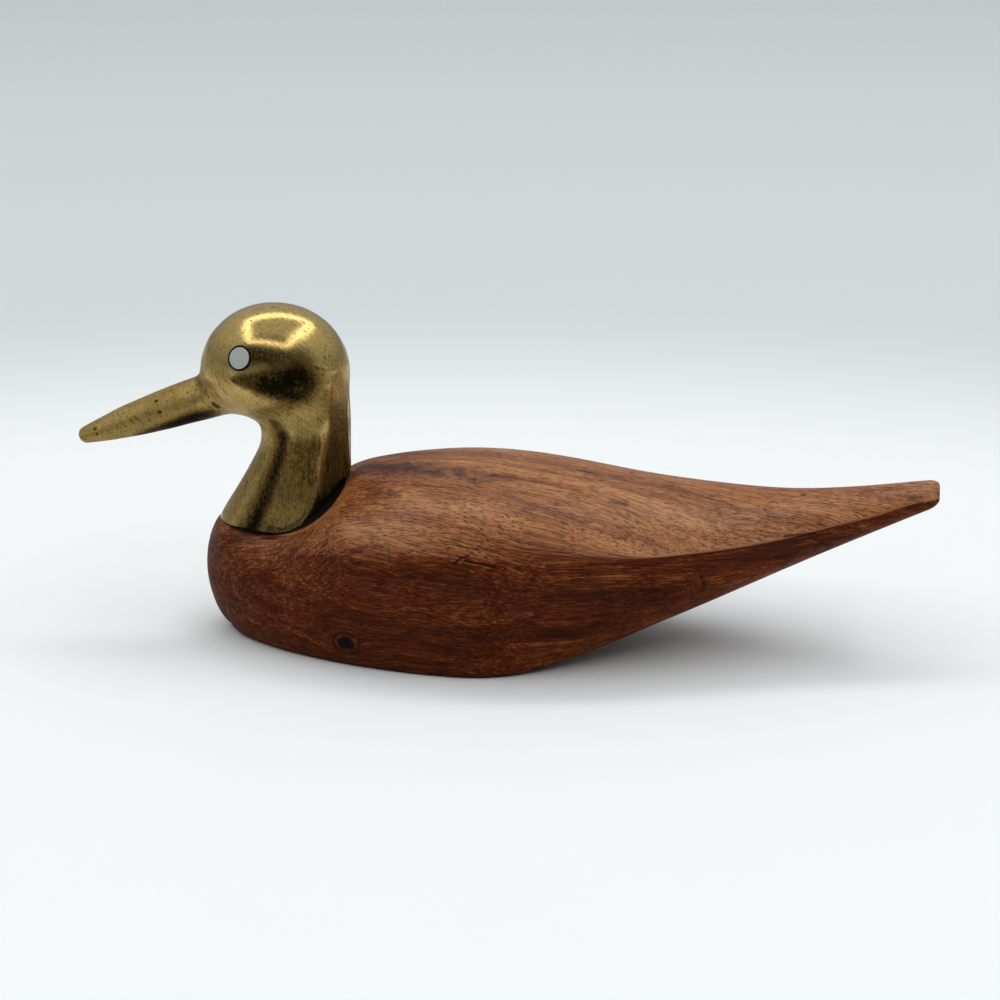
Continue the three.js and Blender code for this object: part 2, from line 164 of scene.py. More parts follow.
class SurfaceNet:
    """Meshes the zero level of a distance field on a grid, then pulls the points onto that level."""

    PULLS = 4
    STEP = 0.05
    LEAST_SLOPE = 0.05
    BATCHES = 32

    def __init__(self, distance: Field, low: Point, high: Point, pitch: float) -> None:
        """Holds the field and the grid.

        Args:
            distance: field that gives a distance for each row of an array of points.
            low: lowest corner of the grid, outside the form.
            high: highest corner of the grid, outside the form.
            pitch: spacing of the grid.
        """
        self.distance = distance
        self.low = np.array(low, float)
        self.pitch = pitch
        self.axes = [np.arange(a, b + pitch, pitch) for a, b in zip(low, high)]

    def values(self) -> np.ndarray:
        """Reads the field.

        Returns:
            Its value at every grid point.
        """
        grid = np.stack(np.meshgrid(*self.axes, indexing="ij"), -1).reshape(-1, 3)
        parts = [self.distance(part) for part in np.array_split(grid, self.BATCHES)]
        return np.concatenate(parts).reshape([len(axis) for axis in self.axes])

    def pull(self, points: np.ndarray) -> np.ndarray:
        """Moves points along the field's slope onto its zero level.

        Args:
            points: rows of points near that level.

        Returns:
            The moved points.
        """
        for _ in range(self.PULLS):
            slope = np.zeros_like(points)
            for axis, step in enumerate(np.eye(3) * self.STEP):
                rise = self.distance(points + step) - self.distance(points - step)
                slope[:, axis] = rise / (2 * self.STEP)
            size = np.maximum((slope**2).sum(1), self.LEAST_SLOPE)
            points = points - slope * (self.distance(points) / size)[:, None]
        return points

    def mesh(self) -> tuple[np.ndarray, np.ndarray]:
        """Finds the surface.

        Returns:
            Its points, and its faces as rows of four point numbers.
        """
        values = self.values()
        inside = values < 0
        total = np.zeros(values.shape + (3,))
        count = np.zeros(values.shape)
        rings = []
        unit = np.eye(3, dtype=int)
        for axis in range(3):
            size = values.shape[axis]
            changes = inside.take(range(size - 1), axis) != inside.take(range(1, size), axis)
            edge = np.argwhere(changes)
            here = values[tuple(edge.T)]
            there = values[tuple((edge + unit[axis]).T)]
            place = edge + (here / (here - there))[:, None] * unit[axis]
            a, b = unit[(axis + 1) % 3], unit[(axis + 2) % 3]
            ring = np.stack([edge - a - b, edge - b, edge, edge - a], 1)
            ring = np.where((here < 0)[:, None, None], ring, ring[:, ::-1])
            for cell in range(4):
                np.add.at(total, tuple(ring[:, cell].T), place)
                np.add.at(count, tuple(ring[:, cell].T), 1)
            rings.append(ring)
        used = count > 0
        number = np.cumsum(used.ravel()).reshape(used.shape) - 1
        points = self.low + self.pitch * total[used] / count[used][:, None]
        faces = np.concatenate(rings)
        return self.pull(points), number[tuple(faces.reshape(-1, 3).T)].reshape(-1, 4)


class Maker:
    """Makes and changes Blender meshes from points in millimetres."""

    WELD = 2e-6
    BEND_SCALE = 4.0
    LEAST_SQUARE = 1e-9

    @staticmethod
    def new(name: str, points: np.ndarray, faces: Sequence) -> Piece:
        """Makes an object.

        Args:
            name: the object's name.
            points: rows of points in millimetres.
            faces: rows of point numbers.

        Returns:
            The object, linked to the scene.
        """
        mesh = bpy.data.meshes.new(name)
        mesh.from_pydata((points * MM).tolist(), [], [list(map(int, row)) for row in faces])
        made = bpy.data.objects.new(name, mesh)
        bpy.context.scene.collection.objects.link(made)
        return made

    @classmethod
    def loft(cls, name: str, rings: np.ndarray) -> Piece:
        """Skins closed rings and closes both ends at their middle.

        Args:
            name: the object's name.
            rings: points by ring and place on the ring.

        Returns:
            A closed mesh with its faces pointing out.
        """
        count, sides, _ = rings.shape
        number = np.arange(count * sides).reshape(count, sides)
        after = np.roll(number, -1, axis=1)
        faces = np.stack([number[:-1], after[:-1], after[1:], number[1:]], -1).reshape(-1, 4).tolist()
        points = np.concatenate([rings.reshape(-1, 3), rings[[0, -1]].mean(1)])
        for middle, ring in ((count * sides, 0), (count * sides + 1, count - 1)):
            faces += [[middle, a, b] for a, b in zip(number[ring], after[ring])]
        made = cls.new(name, points, faces)
        cls.clean(made)
        return made

    @classmethod
    def turned(cls, name: str, profile: Pairs, sides: int = 96) -> Piece:
        """A round solid about +Z.

        Args:
            name: the object's name.
            profile: (radius, height) points, from the axis back to the axis.
            sides: number of steps round.

        Returns:
            A closed mesh.
        """
        angle = (np.arange(sides) + 0.5) * (2 * math.pi / sides)
        radius, height = np.array(profile, float).T
        across = [np.outer(radius, np.cos(angle)), np.outer(radius, np.sin(angle))]
        return cls.loft(name, np.stack([*across, np.outer(height, np.ones(sides))], -1))

    @classmethod
    def across(cls, name: str, outline: np.ndarray, reach: float, skew: float) -> Piece:
        """An outline in side view, carried across the duck.

        Args:
            name: the object's name.
            outline: (x, z) points along the middle.
            reach: how far it goes to either side.
            skew: how far it shifts towards the front for each millimetre in +Y.

        Returns:
            A closed mesh.
        """
        count = len(outline)
        sides = [np.insert(outline - (skew * y, 0), 1, y, axis=1) for y in (-reach, reach)]
        number = np.arange(count)
        after = np.roll(number, -1)
        faces = np.stack([number, after, after + count, number + count], -1).tolist()
        faces += [number[::-1].tolist(), (number + count).tolist()]
        made = cls.new(name, np.concatenate(sides), faces)
        cls.clean(made)
        return made

    @classmethod
    def clean(cls, made: Piece) -> None:
        """Welds points that lie on each other and turns all faces out.

        Args:
            made: the object, which is changed.
        """
        bm = bmesh.new()
        bm.from_mesh(made.data)
        bmesh.ops.remove_doubles(bm, verts=bm.verts, dist=cls.WELD)
        bmesh.ops.dissolve_degenerate(bm, edges=bm.edges, dist=cls.WELD)
        bmesh.ops.recalc_face_normals(bm, faces=bm.faces)
        bm.to_mesh(made.data)
        bm.free()

    @classmethod
    def carve(cls, made: Piece, cutters: Sequence[Piece]) -> None:
        """Cuts closed meshes out of an object and removes them.

        Args:
            made: the object to cut.
            cutters: what is cut out of it.
        """
        for cutter in cutters:
            cut = made.modifiers.new(cutter.name, "BOOLEAN")
            cut.operation = "DIFFERENCE"
            cut.solver = "EXACT"
            cut.object = cutter
        graph = bpy.context.evaluated_depsgraph_get()
        result = bpy.data.meshes.new_from_object(made.evaluated_get(graph))
        made.modifiers.clear()
        cls.drop_flaps(result)
        made.data = result
        for cutter in cutters:
            bpy.data.objects.remove(cutter, do_unlink=True)

    @staticmethod
    def read(items: Any, key: str, width: int, kind: type = np.float32) -> np.ndarray:
        """Reads one property of all parts of a mesh.

        Args:
            items: the mesh's vertices, edges or triangles.
            key: the property's name.
            width: how many numbers it has.
            kind: the numbers' type.

        Returns:
            A row for each part.
        """
        flat = np.zeros(len(items) * width, kind)
        items.foreach_get(key, flat)
        return flat.reshape(-1, width)

    @classmethod
    def drop_flaps(cls, cut: bpy.types.Mesh) -> None:
        """Splits faces that fold flat onto a neighbour, and drops the triangles that lie back to back.

        Args:
            cut: the mesh, which is changed.
        """
        cut.calc_loop_triangles()
        triangles = cls.read(cut.loop_triangles, "vertices", 3, np.int32)
        owner = cls.read(cut.loop_triangles, "polygon_index", 1, np.int32)[:, 0]
        corners = np.sort(triangles, axis=1)
        _, which, times = np.unique(corners, axis=0, return_inverse=True, return_counts=True)
        flap = times[which.reshape(-1)] > 1
        split = set(owner[flap].tolist())
        faces = [tuple(face.vertices) for face in cut.polygons if face.index not in split]
        faces += triangles[np.isin(owner, list(split)) & ~flap].tolist()
        points = [tuple(point.co) for point in cut.vertices]
        cut.clear_geometry()
        cut.from_pydata(points, [], faces)

    @staticmethod
    def smooth(made: Piece, degrees: float) -> None:
        """Shades an object smooth, apart from edges sharper than an angle."""
        made.data.shade_smooth()
        made.data.set_sharp_from_angle(angle=math.radians(degrees))

    @classmethod
    def points(cls, made: Piece) -> np.ndarray:
        """The object's points, in millimetres."""
        return cls.read(made.data.vertices, "co", 3).astype(float) / MM

    @staticmethod
    def paint(made: Piece, name: str, values: np.ndarray) -> None:
        """Stores one value for each point, for the finish to read by name."""
        layer = made.data.attributes.new(name, "FLOAT", "POINT")
        layer.data.foreach_set("value", np.clip(values, 0, 1).astype(np.float32))

    @classmethod
    def hollowness(cls, made: Piece, passes: int) -> np.ndarray:
        """How hollow or proud the surface is around each point.

        Args:
            made: the object.
            passes: how often the result is averaged over neighbours.

        Returns:
            A value for each point: above 0 in hollows and below 0 on ridges, larger where it bends more.
        """
        points = cls.points(made)
        a, b = cls.read(made.data.edges, "vertices", 2, np.int32).T
        count = np.maximum(np.bincount(np.concatenate([a, b]), minlength=len(points)), 1)

        def mean(values: np.ndarray) -> np.ndarray:
            """Averages over neighbours.

            Args:
                values: a value or a row for each point.

            Returns:
                The mean of the neighbours' values at each point.
            """
            total = np.zeros_like(values)
            np.add.at(total, a, values[b])
            np.add.at(total, b, values[a])
            return total / (count if values.ndim == 1 else count[:, None])

        normal = cls.read(made.data.vertices, "normal", 3)
        span = mean(points) - points
        square = np.linalg.norm(points[a] - points[b], axis=1) ** 2
        spread = np.bincount(a, square, len(points)) + np.bincount(b, square, len(points))
        bend = cls.BEND_SCALE * (span * normal).sum(1) * count / np.maximum(spread, cls.LEAST_SQUARE)
        for _ in range(passes):
            bend = (bend + mean(bend)) / 2
        return bend


def present(made: Piece, finish: Material, slot: Slot, *nodes: str) -> None:
    """Dresses a finished piece and hands it to the frame.

    Args:
        made: the piece.
        finish: its material.
        slot: the slot that its finish is named for; not used.
        nodes: the nodes that it stands for.
    """
    made.data.materials.clear()
    made.data.materials.append(finish)
    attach(made, BODY)
    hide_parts(*nodes)
    log.info("%s: %d points, stands for %s", made.name, len(made.data.vertices), ", ".join(nodes))


# Shading


class Shade:
    """Writes nodes into one shader tree."""

    def __init__(self, tree: Tree) -> None:
        """Holds the tree."""
        self.tree = tree

    def add(self, kind: str, inputs: Inputs | None = None, **settings: Any) -> bpy.types.Node:
        """Adds a node.

        Args:
            kind: the node's type without its ShaderNode prefix.
            inputs: values or sockets by input name or number.
            settings: properties of the node.

        Returns:
            The node.
        """
        node = self.tree.nodes.new("ShaderNode" + kind)
        for name, setting in settings.items():
            setattr(node, name, setting)
        for key, value in (inputs or {}).items():
            self.feed(node.inputs[key], value)
        return node

    def feed(self, socket: Socket, value: Value) -> None:
        """Links a socket, or sets its value.

        Args:
            socket: the input.
            value: what it is linked or set to; three numbers will do for a colour.
        """
        if isinstance(value, bpy.types.NodeSocket):
            self.tree.links.new(value, socket)
        elif socket.type == "RGBA" and len(value) == 3:
            socket.default_value = (*value, 1)
        else:
            socket.default_value = value

    def math(self, operation: str, first: Value, *others: Value, clamp: bool = False) -> Socket:
        """Works out a number from others, one after another.

        Args:
            operation: what joins two numbers.
            first: the number to start from.
            others: the numbers that are joined to it.
            clamp: whether the result is held between 0 and 1.

        Returns:
            The result.
        """
        for other in others:
            node = self.add("Math", {0: first, 1: other}, operation=operation, use_clamp=clamp)
            first = node.outputs[0]
        return first

    def plus(self, *values: Value) -> Socket:
        """The sum of numbers."""
        return self.math("ADD", *values)

    def less(self, *values: Value) -> Socket:
        """The first number less the others."""
        return self.math("SUBTRACT", *values)

    def times(self, *values: Value) -> Socket:
        """The product of numbers."""
        return self.math("MULTIPLY", *values)

    def most(self, *values: Value) -> Socket:
        """The largest of numbers."""
        return self.math("MAXIMUM", *values)

    def vector(self, operation: str, *values: Value) -> Socket:
        """A vector worked out from other vectors."""
        return self.add("VectorMath", dict(enumerate(values)), operation=operation).outputs[0]

    def measure(self, operation: str, *values: Value) -> Socket:
        """A number worked out from vectors, such as a length."""
        return self.add("VectorMath", dict(enumerate(values)), operation=operation).outputs["Value"]

    def scaled(self, vector: Value, factor: Value) -> Socket:
        """A vector made longer by a factor."""
        return self.add("VectorMath", {0: vector, 3: factor}, operation="SCALE").outputs[0]

    def split(self, vector: Socket) -> Any:
        """The three numbers of a vector."""
        return self.add("SeparateXYZ", {0: vector}).outputs

    def step(self, value: Value, low: Value, high: Value, bottom: Value = 0.0, top: Value = 1.0) -> Socket:
        """A smooth step from bottom at low to top at high."""
        inputs = {0: value, 1: low, 2: high, 3: bottom, 4: top}
        return self.add("MapRange", inputs, interpolation_type="SMOOTHSTEP").outputs[0]

    def span(self, value: Value, bottom: float, top: float) -> Socket:
        """A smooth step from bottom at 0 to top at 1."""
        return self.step(value, 0.0, 1.0, bottom, top)

    def mix(self, share: Value, a: Value, b: Value, mode: str = "MIX") -> Socket:
        """A colour mixed from two others."""
        inputs = {0: share, 6: a, 7: b}
        return self.add("Mix", inputs, data_type="RGBA", blend_type=mode).outputs[2]

    def noise(self, place: Value, scale: Value, detail: float = 2.0, rough: float = 0.5) -> Socket:
        """Soft noise from 0 to 1."""
        inputs = {"Vector": place, "Scale": scale, "Detail": detail, "Roughness": rough}
        return self.add("TexNoise", inputs).outputs[0]

    def ramp(self, share: Value, stops: Sequence[tuple[float, Colour]]) -> Socket:
        """Looks up a colour.

        Args:
            share: the place on the ramp, from 0 to 1.
            stops: its (place, colour) stops.

        Returns:
            The colour there.
        """
        node = self.add("ValToRGB", {0: share})
        row = node.color_ramp.elements
        while len(row) < len(stops):
            row.new(0.5)
        for element, (place, colour) in zip(row, stops):
            element.position = place
            element.color = (*colour, 1)
        return node.outputs[0]

    def painted(self, name: str) -> Socket:
        """The value that a mesh stores for each point under a name."""
        return self.add("Attribute", attribute_name=name).outputs["Fac"]

    def group(self, tree: Tree, **inputs: Value) -> Socket:
        """Places a node group.

        Args:
            tree: the group.
            inputs: its own values by input name.

        Returns:
            What the group puts out.
        """
        node = self.tree.nodes.new("ShaderNodeGroup")
        node.node_tree = tree
        for name, value in inputs.items():
            self.feed(node.inputs[name], value)
        return node.outputs[0]


class Effects:
    """Node groups that more than one finish uses, each built once."""

    ORIGIN = (0, 0, 0)
    SPOT_CORE = 0.55
    STROKE_ROUGHNESS = 0.6
    CLOUD_SPAN = (0.3, 0.7)
    CLOUD_ROUGHNESS = 0.6

    def __init__(self) -> None:
        """Builds the groups."""
        self.mark = self.build_mark()
        self.pits = self.build_pits()
        self.strokes = self.build_strokes()
        self.mottle = self.build_mottle()

    @staticmethod
    def start(name: str, output: str, **inputs: Any) -> tuple[Shade, Any]:
        """Opens a new group.

        Args:
            name: the group's name.
            output: name of the value that it puts out.
            inputs: default values by input name; three numbers make a vector input.

        Returns:
            A writer for the group, and its inputs' sockets.
        """
        tree = bpy.data.node_groups.new(name, "ShaderNodeTree")
        for key, value in inputs.items():
            kind = "NodeSocketVector" if isinstance(value, tuple) else "NodeSocketFloat"
            socket = tree.interface.new_socket(key, in_out="INPUT", socket_type=kind)
            socket.default_value = value
        tree.interface.new_socket(output, in_out="OUTPUT", socket_type="NodeSocketFloat")
        return Shade(tree), tree.nodes.new("NodeGroupInput").outputs

    @staticmethod
    def close(write: Shade, value: Socket) -> Tree:
        """Puts a value out of a group and gives the finished group."""
        write.feed(write.tree.nodes.new("NodeGroupOutput").inputs[0], value)
        return write.tree

    def build_mark(self) -> Tree:
        """Draws a mark along a line: 1 within its width, fading out over its edge.

        Returns:
            The group.
        """
        ends = {"Start": self.ORIGIN, "End": (1, 0, 0)}
        write, have = self.start("mark", "Mask", Place=self.ORIGIN, **ends, Width=1.0, Edge=0.5)
        along = write.vector("SUBTRACT", have["End"], have["Start"])
        out = write.vector("SUBTRACT", have["Place"], have["Start"])
        size = write.most(write.measure("DOT_PRODUCT", along, along), TINY)
        share = write.math("DIVIDE", write.measure("DOT_PRODUCT", out, along), size, clamp=True)
        far = write.measure("DISTANCE", out, write.scaled(along, share))
        inner = write.less(have["Width"], have["Edge"])
        return self.close(write, write.step(far, inner, have["Width"], 1.0, 0.0))

    def build_pits(self) -> Tree:
        """Scatters round or drawn-out spots: 1 in a spot, and only in a share of the cells.

        Returns:
            The group.
        """
        write, have = self.start("pits", "Mask", Place=self.ORIGIN, Stretch=(1, 1, 1), Size=0.2, Share=1.0)
        place = write.vector("MULTIPLY", have["Place"], have["Stretch"])
        cells = write.add("TexVoronoi", {"Vector": place, "Scale": 1.0})
        inner = write.times(have["Size"], self.SPOT_CORE)
        spot = write.step(cells.outputs["Distance"], inner, have["Size"], 1.0, 0.0)
        chance = write.add("SeparateColor", {0: cells.outputs["Color"]}).outputs[0]
        return self.close(write, write.times(spot, write.math("LESS_THAN", chance, have["Share"])))

    def build_strokes(self) -> Tree:
        """Draws fine lines out along one direction, as grain or brushing.

        Returns:
            The group.
        """
        write, have = self.start("strokes", "Value", Place=self.ORIGIN, Stretch=(0.05, 2, 2), Detail=3.0)
        place = write.vector("MULTIPLY", have["Place"], have["Stretch"])
        return self.close(write, write.noise(place, 1.0, have["Detail"], self.STROKE_ROUGHNESS))

    def build_mottle(self) -> Tree:
        """Clouds the tone, from 0 to 1 with few middle values.

        Returns:
            The group.
        """
        write, have = self.start("mottle", "Value", Place=self.ORIGIN, Scale=0.1, Contrast=0.2)
        cloud = write.noise(have["Place"], have["Scale"], 4.0, self.CLOUD_ROUGHNESS)
        low = write.plus(self.CLOUD_SPAN[0], have["Contrast"])
        high = write.less(self.CLOUD_SPAN[1], have["Contrast"])
        return self.close(write, write.step(cloud, low, high))


class Tint(Enum):
    """What a mark does to the wood."""

    SCRATCH = "scratch"
    STAIN = "stain"
    WORN = "worn"


@dataclass(frozen=True)
class Mark:
    """A stain, scratch, pit or worn spot, from one place on the surface to another."""

    start: Point
    end: Point
    width: float
    strength: float


@dataclass(frozen=True)
class Spots:
    """Scattered spots: how close they lie along each axis, their size, and the share that is there."""

    stretch: Point
    size: float
    share: float


class Coat(Shade):
    """Writes the nodes of one material round its shader."""

    def __init__(self, name: str, effects: Effects | None = None) -> None:
        """Starts the material.

        Args:
            name: the material's name.
            effects: the shared node groups, if it uses them.
        """
        self.made = bpy.data.materials.new(name)
        self.made.use_nodes = True
        super().__init__(self.made.node_tree)
        self.tree.nodes.clear()
        shader = self.add("BsdfPrincipled")
        self.add("OutputMaterial", {"Surface": shader.outputs[0]})
        self.surface = shader.inputs
        self.effects = effects
        self.place = self.scaled(self.add("TexCoord").outputs["Object"], 1 / MM)

    def mark(self, place: Socket, mark: Mark, edge: float) -> Socket:
        """Lays a mark at its strength.

        Args:
            place: the place on the object.
            mark: the mark.
            edge: the share of its width over which it fades out.

        Returns:
            Its mask.
        """
        ends = {"Start": mark.start, "End": mark.end}
        tree = self.effects.mark
        spot = self.group(tree, Place=place, **ends, Width=mark.width, Edge=mark.width * edge)
        return self.times(spot, mark.strength)

    def pits(self, place: Socket, spots: Spots) -> Socket:
        """Scattered spots."""
        inputs = {"Stretch": spots.stretch, "Size": spots.size, "Share": spots.share}
        return self.group(self.effects.pits, Place=place, **inputs)

    def strokes(self, place: Socket, stretch: Point, detail: float = 3.0) -> Socket:
        """Fine lines drawn out along one direction."""
        return self.group(self.effects.strokes, Place=place, Stretch=stretch, Detail=detail)

    def mottle(self, place: Socket, scale: float, contrast: float = 0.0) -> Socket:
        """Cloudy changes of tone."""
        return self.group(self.effects.mottle, Place=place, Scale=scale, Contrast=contrast)

    def drift(self, scale: float, detail: float, reach: Point) -> Socket:
        """Shifts the place softly, by up to half a reach to either side.

        Args:
            scale: how close together the shifts are.
            detail: how many finer shifts lie on top of each other.
            reach: the whole span of the shift along each axis.

        Returns:
            The shift.
        """
        inputs = {"Vector": self.place, "Scale": scale, "Detail": detail}
        noise = self.add("TexNoise", inputs).outputs["Color"]
        return self.vector("MULTIPLY", self.vector("SUBTRACT", noise, (0.5, 0.5, 0.5)), reach)

    def bump(self, height: Socket, strength: float, depth: float) -> Socket:
        """The surface's direction for a height whose unit is a depth in millimetres."""
        inputs = {"Strength": strength, "Distance": depth * MM, "Height": height}
        return self.add("Bump", inputs).outputs[0]

    def put(self, inputs: dict[str, Value]) -> None:
        """Feeds the shader's inputs by name."""
        for name, value in inputs.items():
            self.feed(self.surface[name], value)


class Finish:
    """What the finishes share: each is laid as one material, named for its slot."""

    slot: Slot

    def lay(self, coat: Coat) -> None:
        """Lays the finish in a material."""
        raise NotImplementedError

    def material(self, effects: Effects) -> Material:
        """Builds the finish.

        Args:
            effects: the shared node groups.

        Returns:
            The material.
        """
        coat = Coat(self.slot.value, effects)
        self.lay(coat)
        return coat.made


@dataclass(frozen=True)
class OiledWood(Finish):
    """Reddish-brown hardwood with open pores, dark streaks, a knot and the marks of use, its back painted
    paler and its flank darker as painted light and shade.
    """

    slot = Slot.WOOD
    lean: float = 0.2
    rise: float = 0.06
    dive: float = 0.007
    dive_x: float = -5.0
    swing: float = 0.5
    swing_x: float = 10.0
    wander: Point = (0, 14, 14)
    wander_scale: float = 0.018
    knot: Pair = (-41.2, 8.0)
    knot_side: Pair = (-18.0, -28.0)
    knot_squash: float = 1.25
    knot_reach: float = 4.0
    knot_rough: float = 1.6
    knot_grit: float = 0.9
    knot_soft: float = 0.25
    knot_core: Pair = (3.0, 3.8)
    knot_ring: tuple[float, float, float, float] = (4.3, 4.7, 4.8, 5.6)
    ring_depth: float = 0.9
    figure: tuple[tuple[Point, float], ...] = (
        ((0.006, 0.1, 0.1), 0.8),
        ((0.014, 0.55, 0.55), 0.6),
        ((0.12, 2.1, 2.1), 1.0),
    )
    # Ramp places of the painted light: the shaded flank and the lit back.
    shaded_flank_and_lit_top: Pair = (0.36, 0.74)
    tones: tuple[tuple[float, Colour], ...] = (
        (0.0, (0.016, 0.0035, 0.0012)),
        (0.25, (0.062, 0.011, 0.0028)),
        (0.45, (0.13, 0.027, 0.0062)),
        (0.7, (0.31, 0.112, 0.038)),
        (1.0, (0.5, 0.235, 0.1)),
    )
    amber: Colour = (1.0, 0.86, 0.5)
    amber_lines: Point = (0.012, 0.09, 0.09)
    amber_span: Pair = (0.35, 0.7)
    amber_depth: float = 0.6
    large_pores: Spots = Spots((0.12, 1.45, 1.45), 0.23, 0.62)
    small_pores: Spots = Spots((0.35, 2.1, 2.1), 0.4, 0.75)
    pore_patches: float = 0.09
    least_pores: float = 0.6
    streak_lines: Point = (0.035, 1.5, 1.5)
    streak_span: Pair = (0.34, 0.43)
    streak_depth: float = 0.6
    pore_tone: Colour = (0.018, 0.005, 0.002)
    pore_depth: float = 0.92
    pore_height: float = 0.7
    pore_roughness: float = 0.3
    stain_tone: Colour = (0.05, 0.014, 0.006)
    stain_patches: Pair = (0.3, 0.05)
    least_stain: float = 0.4
    knot_tone: Colour = (0.005, 0.004, 0.004)
    # Pale tone of worn spots, and of the painted highlight along the seat's rim.
    wear_and_highlight_tone: Colour = (0.4, 0.22, 0.13)
    rim_depth: float = 0.8
    ragged: Point = (7, 4, 4)
    ragged_scale: float = 0.5
    blurred_edge: float = 0.9
    sharp_edge: float = 0.6
    roughness: float = 0.4
    sheen_scale: float = 0.4
    sheen_depth: float = 0.16
    coat_weights: Pair = (0.06, 0.4)
    fibre_lines: Point = (0.12, 4.5, 4.5)
    fibre_height: float = 0.5
    marks: tuple[tuple[Tint, tuple[Mark, ...]], ...] = (
        (Tint.SCRATCH, (
            Mark((-8.7, -43.7, 35.8), (-6.8, -43.0, 37.4), 0.5, 1.0),
            Mark((-6.8, -43.0, 37.4), (-4.8, -42.7, 38.0), 0.45, 0.9),
            Mark((-5.6, -43.4, 36.7), (3.0, -43.8, 35.4), 0.5, 1.0),
            Mark((-6.4, -43.6, 36.1), (-3.3, -44.0, 35.2), 0.35, 0.8),
            Mark((0.7, -44.1, 34.5), (3.0, -44.1, 34.3), 0.35, 0.7),
            Mark((-11.0, -43.8, 34.8), (-4.1, -44.4, 33.5), 0.4, 0.6),
            Mark((-7.9, -40.9, 40.2), (-2.1, -41.5, 39.5), 0.45, 0.7),
            Mark((-28.1, -38.5, 38.0), (-27.5, -40.7, 34.6), 0.3, 0.6),
            Mark((-68.7, -17.8, 32.9), (-65.2, -18.8, 33.1), 0.7, 0.9),
            Mark((22.2, -1.6, 52.0), (26.0, -2.3, 51.5), 0.6, 0.95),
            Mark((29.4, -6.4, 50.7), (29.6, -6.4, 50.7), 0.7, 0.8),
            Mark((83.2, -19.2, 39.7), (91.8, -16.5, 40.2), 0.6, 0.8),
            Mark((60.2, -27.2, 29.3), (60.4, -27.0, 29.1), 1.1, 0.9),
            Mark((60.6, -26.1, 27.3), (60.8, -25.9, 27.1), 0.9, 0.9),
            Mark((60.8, -24.4, 24.8), (60.8, -24.3, 24.6), 0.75, 0.8),
            Mark((87.6, -2.7, 47.3), (88.2, -3.1, 47.3), 0.85, 0.95),
        )),
        (Tint.STAIN, (
            Mark((-40.0, -3.0, 51.0), (-26.0, -7.0, 53.0), 8.0, 1.0),
            Mark((-24.0, -10.0, 53.2), (-12.0, -13.0, 53.2), 7.0, 0.9),
            Mark((-8.5, -15.5, 52.5), (-4.5, -15.5, 52.5), 4.8, 1.0),
            Mark((-0.5, -14.0, 52.7), (3.5, -14.0, 52.7), 3.6, 1.0),
            Mark((-36.0, -21.0, 48.3), (-29.0, -22.5, 48.5), 3.6, 0.85),
            Mark((11.2, -13.9, 52.0), (13.2, -10.8, 52.3), 2.6, 0.7),
            Mark((34.4, -17.5, 47.6), (37.0, -17.6, 47.2), 2.8, 0.8),
            Mark((81.0, 2.1, 47.1), (83.9, 1.7, 47.2), 1.6, 0.7),
            Mark((73.0, -22.5, 35.5), (84.0, -19.5, 36.5), 4.0, 0.5),
            Mark((117.9, -7.9, 48.3), (121.6, -7.4, 48.8), 1.9, 0.7),
            Mark((-48.5, -36.4, 11.0), (-43.8, -36.6, 9.3), 1.4, 0.75),
            Mark((-38.6, -37.0, 7.8), (-33.5, -37.7, 6.6), 1.0, 0.7),
        )),
        (Tint.WORN, (
            Mark((94.2, -13.3, 43.5), (99.1, -14.1, 42.4), 0.3, 0.4),
            Mark((96.0, -13.6, 43.9), (98.6, -13.7, 43.3), 0.25, 0.35),
            Mark((122.6, -7.6, 48.6), (125.3, -6.9, 48.7), 1.2, 0.55),
        )),
    )

    def lay(self, coat: Coat) -> None:
        """Lays the finish.

        Args:
            coat: the material's writer.
        """
        core, ring, grain, fibres = self.grain(coat)
        pores = self.pores(coat, fibres)
        # The painted light: the back lit paler, the flank and the wood round the neck shaded darker.
        top = coat.painted("top")
        colour = coat.ramp(self.tone(coat, grain, top), self.tones)
        amber = coat.strokes(grain, self.amber_lines, 2.0)
        amber = coat.step(amber, *self.amber_span, 0.0, self.amber_depth)
        colour = coat.mix(amber, colour, self.amber, "MULTIPLY")
        colour = coat.mix(coat.times(pores, self.pore_depth), colour, self.pore_tone)
        colour, scratches = self.worn(coat, colour)
        # The pale line along the seat's rim: wear and painted highlight.
        rim = coat.times(coat.painted("rim"), self.rim_depth)
        for share, tone in ((ring, self.pore_tone), (core, self.knot_tone), (rim, self.wear_and_highlight_tone)):
            colour = coat.mix(share, colour, tone)
        sheen = coat.times(coat.noise(coat.place, self.sheen_scale, 3.0), self.sheen_depth)
        fibre = coat.times(coat.strokes(grain, self.fibre_lines), self.fibre_height)
        height = coat.less(fibre, coat.times(pores, self.pore_height), scratches, core)
        coat.put({
            "Base Color": colour,
            "Roughness": coat.plus(sheen, self.roughness, coat.times(pores, self.pore_roughness)),
            "Specular IOR Level": 0.02,
            "Coat Weight": coat.span(top, *self.coat_weights),
            "Coat Roughness": 0.34,
            "Normal": coat.bump(height, strength=0.5, depth=0.25),
        })

